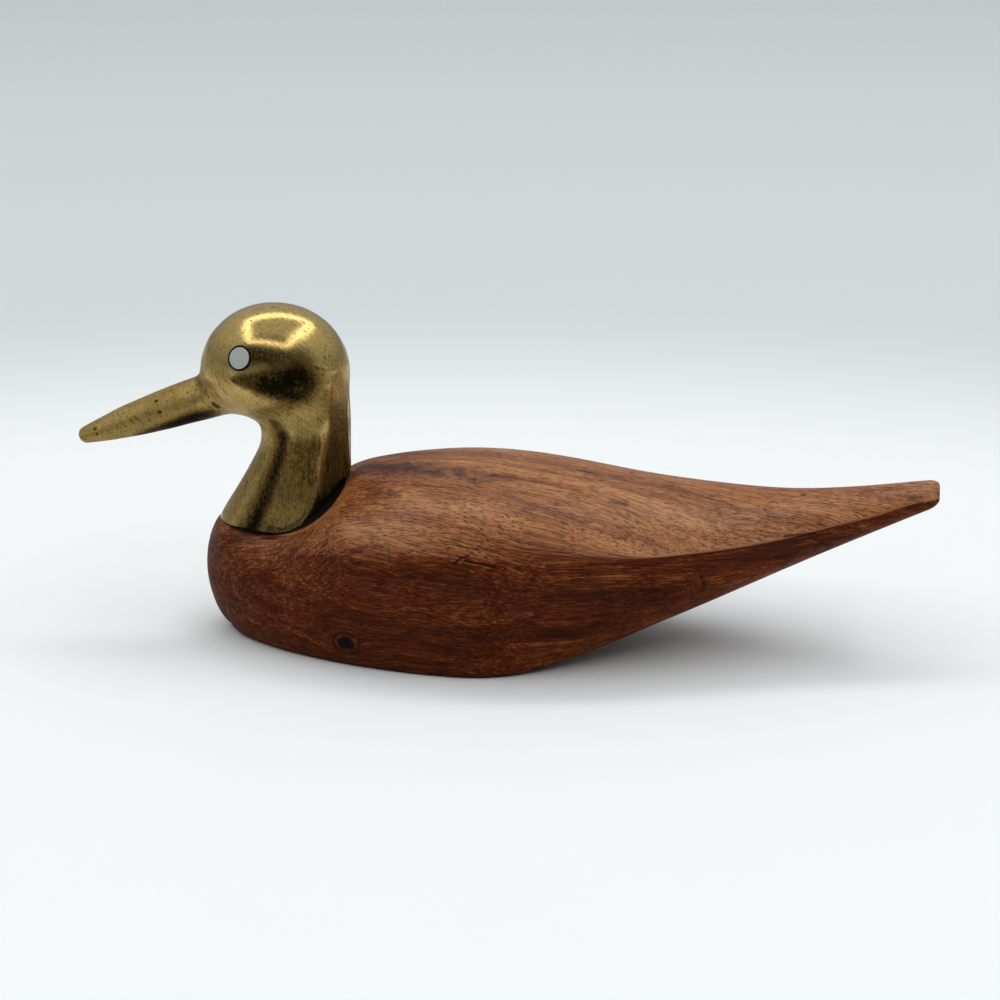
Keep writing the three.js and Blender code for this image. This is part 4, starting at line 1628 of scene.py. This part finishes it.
@dataclass(frozen=True)
class BrassHead:
    """Head, neck and bill as one casting, with its sole cut to the seat."""

    seat: Seat = Seat()
    head: Point = (-67.3, 0.0, 79.0)
    head_front: float = 22.2
    head_rear: float = 21.9
    head_up: float = 20.0
    head_down: float = 14.7
    head_half_width: float = 17.5
    dents: tuple[tuple[Point, float, float], ...] = (
        ((-61.0, 16.5, 80.0), 9.0, 0.7),
        ((-70.5, 17.0, 83.5), 5.5, 0.35),
        ((-77.0, 13.0, 79.0), 6.0, 0.3),
        ((-72.0, 13.5, 92.0), 6.0, -0.3),
        ((-55.0, 12.0, 87.0), 8.0, 0.4),
    )
    neck_ends: Pair = (28.0, 79.0)
    throat_line: Pairs = (
        (30, -87), (34.6, -84.6), (41.6, -80.5), (47, -77.3), (52.7, -74.2), (56.5, -72.4), (60, -71.8),
        (63.5, -72.3), (66.5, -74.3), (69, -78.5), (79, -84),
    )
    nape_line: Pairs = ((30, -45), (60, -45.1), (70, -45.25), (73, -45.6), (76, -46.5), (79, -47.5))
    half_line: Pairs = (
        (30, 18.8), (36, 17.5), (44, 15.3), (54, 13.4), (62, 13), (68, 12.4), (75, 10), (79, 8.5),
    )
    rear_power: float = 2.5
    groove: Point = (62.0, 14.0, 0.085)
    panel_fall: Pairs = ((30, 0.84), (36, 0.76), (41, 0.64), (47, 0.61), (55, 0.58), (61, 0.5), (79, 0.58))
    nape_half: float = 1.5
    panel_edge: float = 1.4
    bill_root: Pair = (-84.0, 71.8)
    bill_tip: Pair = (-126.2, 57.0)
    bill_heights: Pairs = ((0, 6.7), (0.15, 6.4), (0.43, 5.7), (0.72, 4.3), (0.87, 3.2), (1, 2.1))
    bill_widths: Pairs = ((0, 8.6), (0.3, 8.3), (0.6, 7.6), (0.85, 6.6), (1, 5.4))
    bill_power: float = 2.1
    bill_sunk: float = 4.0
    bill_end: float = 0.45
    tip_lean: float = 0.35
    tip_back: float = 0.55
    jaw_fillet: float = 3.4
    nape_fillet: float = 3.0
    panel_fillet: float = 6.5
    panel_fillet_y: Pair = (5.0, 11.0)
    rear_fillet_x: Pair = (-62.0, -52.0)
    bill_fillet: float = 3.0
    file_depths: Pair = (0.05, 0.03)
    grid_low: Point = (-129.0, -21.5, 26.0)
    grid_high: Point = (-43.0, 21.5, 101.0)
    pitch: float = 0.45
    sole_lift: float = 0.45
    cut_floor: float = 10.0
    cut_reach: float = 60.0
    screw_x: float = -65.0
    blind_hole: Pair = (2.8, 50.0)
    hole_start: float = 20.0
    sharp_angle: float = 40.0
    # Dark patches along lines, laid into the tarnish paint: painted reflection of dark surroundings on each
    # cheek, and painted shade under the bill's root.
    shadows: tuple[tuple[Point, Point, float, float], ...] = (
        ((-77.0, 16.2, 79.8), (-58.6, 15.8, 79.0), 1.6, 8.8),
        ((-108.0, 5.5, 58.2), (-87.5, 7.2, 64.3), 2.4, 5.8),
    )
    shadow_edge: Pair = (0.32, 1.25)
    shadow_start: float = 0.7
    bend_passes: int = 14
    hollow_bend: Pair = (0.02, 0.2)
    hollow_x: Pair = (-60.0, -54.0)
    ridge_bend: Pair = (0.06, 0.2)
    ridge_x: Pair = (-92.0, -84.0)
    foot_height: float = 2.5
    groove_z: Pair = (62.0, 68.0)
    groove_turn: float = 4.0
    panel_depth: Pair = (0.1, 1.2)
    panel_z: Pair = (65.0, 79.0)
    panel_rubbed: float = 0.7
    side_turn: Pair = (60.0, 75.0)
    side_z: Pair = (60.0, 66.0)
    side_foot: float = 0.45
    side_foot_z: Pair = (38.0, 52.0)
    crown_z: Pair = (80.0, 89.0)
    tarnish_and_shade_depths: tuple[float, ...] = (1.0, 0.6, 0.3, 0.93, 0.58, 0.55)

    def head_field(self, p: np.ndarray) -> np.ndarray:
        """Distances to the rounded head.

        Args:
            p: rows of points.

        Returns:
            A distance for each point.
        """
        out = p - np.array(self.head)
        ahead = np.where(out[:, 0] < 0, self.head_front, self.head_rear)
        upward = np.where(out[:, 2] < 0, self.head_down, self.head_up)
        reach = np.stack([ahead, np.full(len(p), self.head_half_width), upward], 1)
        near = np.linalg.norm(out / reach, axis=1)
        slope = np.maximum(np.linalg.norm(out / reach**2, axis=1), TINY)
        distance = near * (near - 1) / slope
        for middle, spread, depth in self.dents:
            distance += depth * np.exp(-((to_right(p) - np.array(middle)) ** 2).sum(1) / spread**2)
        return distance

    def turn(self, p: np.ndarray) -> tuple[np.ndarray, np.ndarray, np.ndarray]:
        """Where points lie round the neck.

        Args:
            p: rows of points.

        Returns:
            The angle from the front in degrees, how far out each point lies (1 at the surface), and how fast
            that grows outwards.
        """
        z = np.clip(p[:, 2], *self.neck_ends)
        throat, nape = Spline(self.throat_line)(z), Spline(self.nape_line)(z)
        half = Spline(self.half_line)(z)
        reach = (nape - throat) / 2
        ahead = ((nape + throat) / 2 - p[:, 0]) / reach
        beside = np.abs(p[:, 1]) / half
        power = np.where(ahead < 0, self.rear_power, 2)
        far = (np.abs(ahead) ** power + beside**power) ** (1 / power)
        turn = np.degrees(np.arctan2(beside ** (power / 2), np.sign(ahead) * np.abs(ahead) ** (power / 2)))
        slope = np.hypot(ahead / reach, beside / half) / np.maximum(far, TINY)
        return turn, far, np.maximum(slope, TINY)

    def hollow_line(self, turn: np.ndarray) -> np.ndarray:
        """How deep the groove is at an angle round the neck, from 0 to 1."""
        middle, spread, _ = self.groove
        return np.exp(-(((turn - middle) / spread) ** 2))

    def panel_field(self, p: np.ndarray) -> np.ndarray:
        """Distances to the two flat panels behind the neck, which meet at the nape.

        Args:
            p: rows of points.

        Returns:
            A distance for each point.
        """
        fall = Spline(self.panel_fall)(p[:, 2])
        panel = Spline(self.nape_line)(p[:, 2]) - fall * np.maximum(np.abs(p[:, 1]) - self.nape_half, 0)
        return (p[:, 0] - panel) / np.hypot(1, fall)

    def neck_field(self, p: np.ndarray) -> np.ndarray:
        """Distances to the neck: a round front, a groove, full sides and two flat panels behind.

        Args:
            p: rows of points.

        Returns:
            A distance for each point.
        """
        turn, far, slope = self.turn(p)
        side = (far / (1 - self.groove[2] * self.hollow_line(turn)) - 1) / slope
        side = -soft_join(-side, -self.panel_field(p), self.panel_edge)
        ends = np.maximum(self.neck_ends[0] - p[:, 2], p[:, 2] - self.neck_ends[1])
        return np.maximum(side, ends)

    def bill_field(self, p: np.ndarray) -> np.ndarray:
        """Distances to the bill: flat-sided, and cut blunt at its tip.

        Args:
            p: rows of points.

        Returns:
            A distance for each point.
        """
        root, tip = np.array(self.bill_root), np.array(self.bill_tip)
        length = np.linalg.norm(tip - root)
        along = (tip - root) / length
        out = p[:, [0, 2]] - root
        run = out @ along
        share = np.clip(run / length, 0, 1)
        height, width = Spline(self.bill_heights)(share), Spline(self.bill_widths)(share)
        rise = out @ np.array([along[1], -along[0]])
        up = np.abs(rise) / height
        beside = np.abs(p[:, 1]) / width
        far = (up**self.bill_power + beside**self.bill_power) ** (1 / self.bill_power)
        slope = np.hypot(up / height, beside / width) / np.maximum(far, TINY)
        side = np.maximum((far - 1) / np.maximum(slope, TINY), -run - self.bill_sunk)
        return -soft_join(-side, length - self.tip_back - run + self.tip_lean * rise, self.bill_end)

    def wobble(self, p: np.ndarray) -> np.ndarray:
        """The slight unevenness of filing by hand.

        Args:
            p: rows of points.

        Returns:
            How far the surface is set back at each point.
        """
        x, y, z = p.T
        slow = np.sin(x / 5.3 + 0.9) * np.sin(z / 4.7 + 0.4) + 0.6 * np.sin((x + 2 * z) / 3.9 + y / 6)
        quick = np.sin(x / 2.1 + y / 3.7 + 0.3) * np.sin(z / 1.9 - y / 4.1 + 1.1)
        return self.file_depths[0] * slow + self.file_depths[1] * quick

    def shape(self, p: np.ndarray) -> np.ndarray:
        """Distances to the whole casting before it is cut.

        Args:
            p: rows of points.

        Returns:
            A distance for each point.
        """
        rear = lerp(self.nape_fillet, self.panel_fillet, ease(np.abs(p[:, 1]), *self.panel_fillet_y))
        fillet = lerp(self.jaw_fillet, rear, ease(p[:, 0], *self.rear_fillet_x))
        joined = soft_join(self.head_field(p), self.neck_field(p), fillet)
        joined = soft_join(joined, self.bill_field(p), self.bill_fillet)
        return joined + self.wobble(p)

    def hole(self, name: str) -> Piece:
        """A cutter for the screw's blind hole, which also pierces the compound under the neck.

        Args:
            name: the cutter's name.

        Returns:
            The cutter.
        """
        radius, top = self.blind_hole
        low = self.hole_start
        made = Maker.turned(name, ((0, low), (radius, low), (radius, top), (0, top)), sides=48)
        made.location.x = self.screw_x * MM
        return made

    def build(self, eyes: Sequence["Eye"]) -> Piece:
        """Makes the casting.

        Args:
            eyes: the eyes that it has sockets for.

        Returns:
            The piece.
        """
        points, faces = SurfaceNet(self.shape, self.grid_low, self.grid_high, self.pitch).mesh()
        made = Maker.new("cast_head", points, faces)
        line = self.seat.lifted(self.sole_lift)
        ends = [[line[-1, 0], self.cut_floor], [line[0, 0], self.cut_floor]]
        below = Maker.across("below_sole", np.concatenate([line, ends]), self.cut_reach, self.seat.skew)
        Maker.carve(made, [below, self.hole("blind_hole"), *(eye.socket() for eye in eyes)])
        Maker.smooth(made, self.sharp_angle)
        return made

    def shadow(self, p: np.ndarray, start: Point, end: Point, narrow: float, wide: float) -> np.ndarray:
        """A dark patch of painted reflection and shade on both sides of the casting, along a line.

        Args:
            p: rows of points.
            start: the narrow end of the line, on the +Y side.
            end: its wide end.
            narrow: how far out the patch fades away at its start.
            wide: the same at its end.

        Returns:
            1 in the patch and 0 outside it.
        """
        along = np.array(end) - np.array(start)
        out = to_right(p) - np.array(start)
        share = np.clip(out @ along / (along @ along), 0, 1)
        far = np.linalg.norm(out - share[:, None] * along, axis=1)
        strength = lerp(self.shadow_start, 1, ease(share, 0, self.shadow_start))
        return fade(far / lerp(narrow, wide, share), *self.shadow_edge) * strength

    def dress(self, made: Piece, finish: Material) -> None:
        """Paints where the brass is rubbed bright, its tarnish, and its painted reflection and shade, and
        presents the piece.

        Args:
            made: the casting.
            finish: its material.
        """
        points = Maker.points(made)
        x, _, z = points.T
        turn = self.turn(points)[0]
        bend = Maker.hollowness(made, self.bend_passes)
        # Painted reflection on the cheeks and painted shade under the bill's root.
        shadow = np.max([self.shadow(points, *spot) for spot in self.shadows], axis=0)
        hollow = ease(bend, *self.hollow_bend) * fade(x, *self.hollow_x)
        ridge = ease(-bend, *self.ridge_bend) * ease(x, *self.ridge_x)
        # Darker at the neck's foot, just above the seat.
        foot = fade(z, self.seat.shelf_z, self.seat.shelf_z + self.foot_height)
        # Painted shade along the groove down the neck's side.
        groove = self.hollow_line(turn - self.groove_turn) * fade(z, *self.groove_z)
        # Painted reflection of the reddish wood on the two rear panels.
        panel = fade(-self.panel_field(points), *self.panel_depth) * fade(z, *self.panel_z)
        panel *= 1 - self.panel_rubbed * ridge
        # Darker on the neck's sides below the head, more so higher up.
        side = ease(turn, *self.side_turn) * fade(z, *self.side_z) * (1 - panel)
        side *= lerp(self.side_foot, 1, ease(z, *self.side_foot_z))
        # Tarnish in the hollows, with the painted reflection and shade, as one paint.
        parts = zip(self.tarnish_and_shade_depths, (shadow, hollow, foot, groove, panel, side))
        Maker.paint(made, "tarnish", np.max([depth * part for depth, part in parts], axis=0))
        Maker.paint(made, "rubbed", np.maximum(ridge, ease(z, *self.crown_z)))
        present(made, finish, Slot.BRASS, "brass_head")


@dataclass(frozen=True)
class NeckBedding:
    """The black compound under the neck, which also fills the slope beside it out to the seat's rim, as
    compound and as painted shade of the gap there.
    """

    body: WoodBody = WoodBody()
    casting: BrassHead = BrassHead()
    rear_x: float = -45.5
    under: float = 0.06
    thick: float = 0.3
    inset: float = 0.3
    rim_clear: float = 0.6
    rim_search: tuple[float, float, int] = (0.0, 40.0, 1601)
    least_half: float = 0.02
    turn_in: float = 2.0
    steps: tuple[int, int, int] = (40, 50, 41)
    lumps: float = 0.04
    edge_power: int = 12
    sharp_angle: float = 50.0

    def rim(self, along: np.ndarray, side: Side) -> np.ndarray:
        """How far out the seat is flat enough for the bed, on lines that run askew with the seat.

        Args:
            along: a column of places along the duck.
            side: the side of the duck.

        Returns:
            A column of distances from the middle.
        """
        seat = self.body.seat
        out = np.linspace(*self.rim_search)[None, :]
        y = side.value * out
        x = along - seat.skew * y
        proud = self.body.dome(x, out) - seat.height(x, y) - self.rim_clear * self.body.rim_wear(x)
        return np.where(proud > 0, out, 0).max(1, keepdims=True) - self.inset

    def on_slope(self, along: np.ndarray) -> np.ndarray:
        """0 on the seat's shelf and 1 on its slope."""
        bend = self.casting.seat.bend_x
        return ease(along, bend - self.turn_in, bend + self.turn_in)

    def half_width(self, along: np.ndarray, side: Side) -> np.ndarray:
        """How far the bed reaches from the middle: under the neck in front, out to the rim on the slope.

        Args:
            along: a column of places along the duck.
            side: the side of the duck.

        Returns:
            A column of distances from the middle.
        """
        cast = self.casting
        sole = cast.seat.shelf_z + cast.sole_lift
        throat, nape = Spline(cast.throat_line)(sole), Spline(cast.nape_line)(sole)
        ahead = np.clip((along - (throat + nape) / 2) / ((nape - throat) / 2), -1, 0)
        front = Spline(cast.half_line)(sole) * np.sqrt(1 - ahead**2)
        half = lerp(front - self.inset, self.rim(along, side), self.on_slope(along))
        return np.maximum(half, self.least_half)

    def build(self) -> Piece:
        """Makes the bed.

        Returns:
            The piece.
        """
        seat = self.casting.seat
        front_steps, slope_steps, cross_steps = self.steps
        start = float(Spline(self.casting.throat_line)(seat.shelf_z)) + 2 * self.inset
        front = lerp(start, seat.bend_x, np.linspace(0, 1, front_steps) ** 2)
        slope = np.linspace(seat.bend_x, self.rear_x, slope_steps)[1:]
        along = np.concatenate([front, slope])[:, None]
        across = np.linspace(-1, 1, cross_steps)[None, :]
        left, right = (self.half_width(along, side) for side in Side)
        y = np.where(across < 0, left, right) * across
        x = along - seat.skew * y * self.on_slope(along)
        uneven = self.lumps * np.sin(x * 1.7 + across * 5) * np.cos(across * 9 + x * 0.6)
        edge = np.sqrt(1 - np.abs(across) ** self.edge_power)
        layers = []
        for lift in (self.under, self.under + (self.thick + uneven) * edge):
            raised_x, raised_z = seat.raised(x, y, lift)
            layers.append(np.stack([raised_x, y, raised_z], -1))
        made = Maker.loft("neck_compound", np.concatenate([layers[0], layers[1][:, ::-1]], 1))
        Maker.carve(made, [self.casting.hole("bed_hole")])
        Maker.smooth(made, self.sharp_angle)
        return made

    def dress(self, made: Piece, finish: Material) -> None:
        """Presents the piece."""
        present(made, finish, Slot.COMPOUND, "neck_bedding")


@dataclass(frozen=True)
class Eye:
    """A shell disc in its ring of compound, set square to the head."""

    side: Side
    casting: BrassHead = BrassHead()
    place: Pair = (-75.0, 86.2)
    radius: float = 3.2
    thick: float = 2.0
    bevel: float = 0.3
    bevel_steps: int = 7
    chamfer: float = 0.1
    crown: float = 0.12
    crown_shares: tuple[float, ...] = (0.85, 0.65, 0.4, 0.2, 0)
    ring: float = 0.38
    gap: float = 0.06
    floor: float = 0.6
    sunk: float = 0.12
    sag: float = 0.16
    sag_steps: int = 9
    socket_flare: Pairs = ((0.0, -0.2), (0.12, 0.1), (0.3, 2.5))
    sharp_angle: float = 50.0

    def frame(self) -> Matrix:
        """Finds the eye's place on the head.

        Returns:
            A matrix in metres, with +Z pointing straight out of the head.
        """
        x, z = self.place
        cast = self.casting
        share = ((x - cast.head[0]) / cast.head_front, (z - cast.head[2]) / cast.head_up)
        across = self.side.value * math.sqrt(1 - share[0] ** 2 - share[1] ** 2)
        normal = Vector((share[0] / cast.head_front, across / cast.head_half_width, share[1] / cast.head_up))
        turn = Vector((0, 0, 1)).rotation_difference(normal.normalized())
        middle = Vector((x, across * cast.head_half_width, z)) * MM
        return Matrix.Translation(middle) @ turn.to_matrix().to_4x4()

    @property
    def outer(self) -> float:
        """The outside of the ring."""
        return self.radius + self.gap + self.ring

    def turned(self, name: str, profile: Pairs) -> Piece:
        """Turns a piece of the eye in its place.

        Args:
            name: the piece's name without its side.
            profile: (radius, height) points, with heights out of the head.

        Returns:
            The piece.
        """
        made = Maker.turned(f"{name}_{self.side.word}", profile)
        made.data.transform(self.frame())
        Maker.smooth(made, self.sharp_angle)
        return made

    def socket(self) -> Piece:
        """Makes what is cut out of the head for the eye.

        Returns:
            The cutter.
        """
        wide, low = self.outer + self.gap, -self.thick - self.floor - 2 * self.gap
        wall = [(wide + out, height) for out, height in self.socket_flare]
        return self.turned("socket", ((0, low), (wide, low), *wall, (0, wall[-1][1])))

    def disc(self) -> Piece:
        """Makes the shell disc, with a rounded edge and a slight crown.

        Returns:
            The piece.
        """
        low, inner = -self.thick, self.radius - self.bevel
        foot = ((0, low), (self.radius - self.chamfer, low), (self.radius, low + self.chamfer))
        turn = np.radians(np.linspace(0, 90, self.bevel_steps))
        edge = [(inner + self.bevel * math.cos(t), self.bevel * (math.sin(t) - 1)) for t in turn]
        rise = [(inner * s, self.crown * (1 - s * s)) for s in self.crown_shares]
        return self.turned("shell_disc", (*foot, *edge, *rise))

    def cup(self) -> Piece:
        """Makes the compound round and under the disc, sunk a little between disc and brass.

        Returns:
            The piece.
        """
        inner, floor = self.radius + self.gap, -self.thick - self.gap
        low = floor - self.floor
        shares = np.linspace(0, 1, self.sag_steps)
        sag = [(lerp(self.outer, inner, t), -self.sunk - self.sag * math.sin(math.pi * t)) for t in shares]
        return self.turned("eye_compound", ((0, low), (self.outer, low), *sag, (inner, floor), (0, floor)))

    def dress(self, shell: Material, compound: Material) -> None:
        """Makes and presents both pieces of the eye."""
        present(self.disc(), shell, Slot.SHELL, f"eye_{self.side.word}")
        present(self.cup(), compound, Slot.COMPOUND, f"eye_bedding_{self.side.word}")


@dataclass(frozen=True)
class Fixing:
    """The screw and washer from below, which keep their own solids."""

    nodes: tuple[str, ...] = ("neck_screw", "neck_washer")
    sharp_angle: float = 35.0

    def dress(self, finish: Material) -> None:
        """Gives both pieces their plating.

        Args:
            finish: the material.
        """
        for name in self.nodes:
            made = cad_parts[name]
            made.data.materials.clear()
            made.data.materials.append(finish)
            Maker.smooth(made, self.sharp_angle)
            log.info("%s: dressed as packed", name)


# The studio


@dataclass(frozen=True)
class Strip:
    """One soft strip light overhead, by the ends of its middle line and its width, in metres."""

    start: Pair
    end: Pair
    width: float


@dataclass(frozen=True)
class Studio:
    """A pale floor, a ring of soft strip lights overhead, a pale room and the camera."""

    floor_reach: float = 9000.0
    floor_sides: int = 96
    floor_tone: Colour = (0.93, 0.94, 0.94)
    far_tone: Colour = (0.66, 0.69, 0.695)
    # Painted pool of light on the floor: its middle, where it starts to fade and where it has faded.
    light_pool: tuple[Point, float, float] = ((0.0, -250.0, 0.0), 420.0, 680.0)
    speckle: float = 0.04
    strips: tuple[Strip, ...] = (
        Strip((-1.3, -1.45), (1.1, -2.1), 0.42),
        Strip((-1.3, 0.5), (1.1, 0.95), 0.42),
        Strip((-1.2, -1.3), (-1.2, 0.36), 0.4),
        Strip((0.95, -1.9), (0.95, 0.76), 0.4),
    )
    strip_height: float = 1.75
    strip_power: float = 9.8
    room_tone: Colour = (0.78, 0.82, 0.84)
    front_tone: Colour = (0.03, 0.03, 0.028)
    front_turn: Pair = (0.35, 0.75)
    room_strength: float = 0.8
    horizon: float = 0.5
    horizon_rise: float = 0.6
    target: Point = (-1.0, 0.0, 41.5)
    distance: float = 884.0
    azimuth: float = 7.0
    elevation: float = 17.2
    lens: float = 108.0
    clip: Pair = (0.02, 50.0)

    def build_floor(self) -> None:
        """Lays a wide, flat floor with a painted pool of light round the duck, greyer further out."""
        angle = np.linspace(0, 2 * math.pi, self.floor_sides, endpoint=False)
        ring = np.stack([np.cos(angle), np.sin(angle), 0 * angle], -1) * self.floor_reach
        floor = Maker.new("floor", ring, [range(self.floor_sides)])
        paper = Coat("floor_paper")
        # Painted light: the floor paler near the duck and greyer far off.
        middle, near, far = self.light_pool
        out = paper.step(paper.measure("DISTANCE", paper.place, middle), near, far)
        tone = paper.mix(out, self.floor_tone, self.far_tone)
        speckle = paper.span(paper.noise(paper.place, 0.02, 3.0), 0.0, self.speckle)
        paper.put({
            "Base Color": paper.mix(speckle, tone, self.far_tone),
            "Roughness": 0.7,
            "Specular IOR Level": 0.2,
        })
        floor.data.materials.append(paper.made)

    def build_lights(self) -> None:
        """Hangs the ring of strip lights, facing down."""
        for number, strip in enumerate(self.strips):
            lamp = bpy.data.lights.new(f"strip_{number}", "AREA")
            lamp.shape = "RECTANGLE"
            along = Vector(strip.end) - Vector(strip.start)
            lamp.size, lamp.size_y = along.length, strip.width
            lamp.energy = self.strip_power * along.length * strip.width
            made = bpy.data.objects.new(lamp.name, lamp)
            made.location = (*((Vector(strip.start) + Vector(strip.end)) / 2), self.strip_height)
            made.rotation_euler.z = math.atan2(along.y, along.x)
            bpy.context.scene.collection.objects.link(made)

    def build_room(self) -> None:
        """Surrounds the floor with a pale room, darker towards the open front."""
        world = bpy.data.worlds.new("room")
        bpy.context.scene.world = world
        world.use_nodes = True
        write = Shade(world.node_tree)
        write.tree.nodes.clear()
        look = write.add("TexCoord").outputs["Generated"]
        front = write.step(write.measure("DOT_PRODUCT", look, (0, -1, 0)), *self.front_turn)
        tone = write.mix(front, self.room_tone, self.front_tone)
        upward = write.measure("DOT_PRODUCT", look, (0, 0, 1))
        low = write.step(upward, 0.0, self.horizon_rise, self.horizon, 0.0)
        tone = write.mix(low, tone, self.front_tone)
        back = write.add("Background", {"Color": tone, "Strength": self.room_strength})
        write.add("OutputWorld", {"Surface": back.outputs[0]})

    def build_camera(self) -> None:
        """Sets the camera up at the photographed view."""
        lens = bpy.data.cameras.new("camera")
        lens.lens = self.lens
        lens.clip_start, lens.clip_end = self.clip
        made = bpy.data.objects.new("camera", lens)
        turn, rise = math.radians(self.azimuth), math.radians(self.elevation)
        back = Vector((math.sin(turn) * math.cos(rise), -math.cos(turn) * math.cos(rise), math.sin(rise)))
        made.location = (Vector(self.target) + back * self.distance) * MM
        made.rotation_euler = (-back).to_track_quat("-Z", "Y").to_euler()
        bpy.context.scene.collection.objects.link(made)
        bpy.context.scene.camera = made

    def build(self) -> None:
        """Sets the whole studio up."""
        self.build_floor()
        self.build_lights()
        self.build_room()
        self.build_camera()
        bpy.context.scene.view_settings.view_transform = "Standard"


def main() -> None:
    """Builds the duck and its studio."""
    logging.basicConfig(level=logging.INFO, format="%(name)s: %(message)s")
    Studio().build()
    effects = Effects()
    finishes = (OiledWood(), AgedBrass(), WhiteShell(), BlackCompound(), PlatedSteel())
    wood, brass, shell, compound, steel = (finish.material(effects) for finish in finishes)
    body = WoodBody()
    body.dress(body.build(), wood)
    eyes = [Eye(side) for side in Side]
    casting = BrassHead()
    casting.dress(casting.build(eyes), brass)
    bedding = NeckBedding(body, casting)
    bedding.dress(bedding.build(), compound)
    for eye in eyes:
        eye.dress(shell, compound)
    Fixing().dress(steel)


if __name__ == "__main__":
    main()
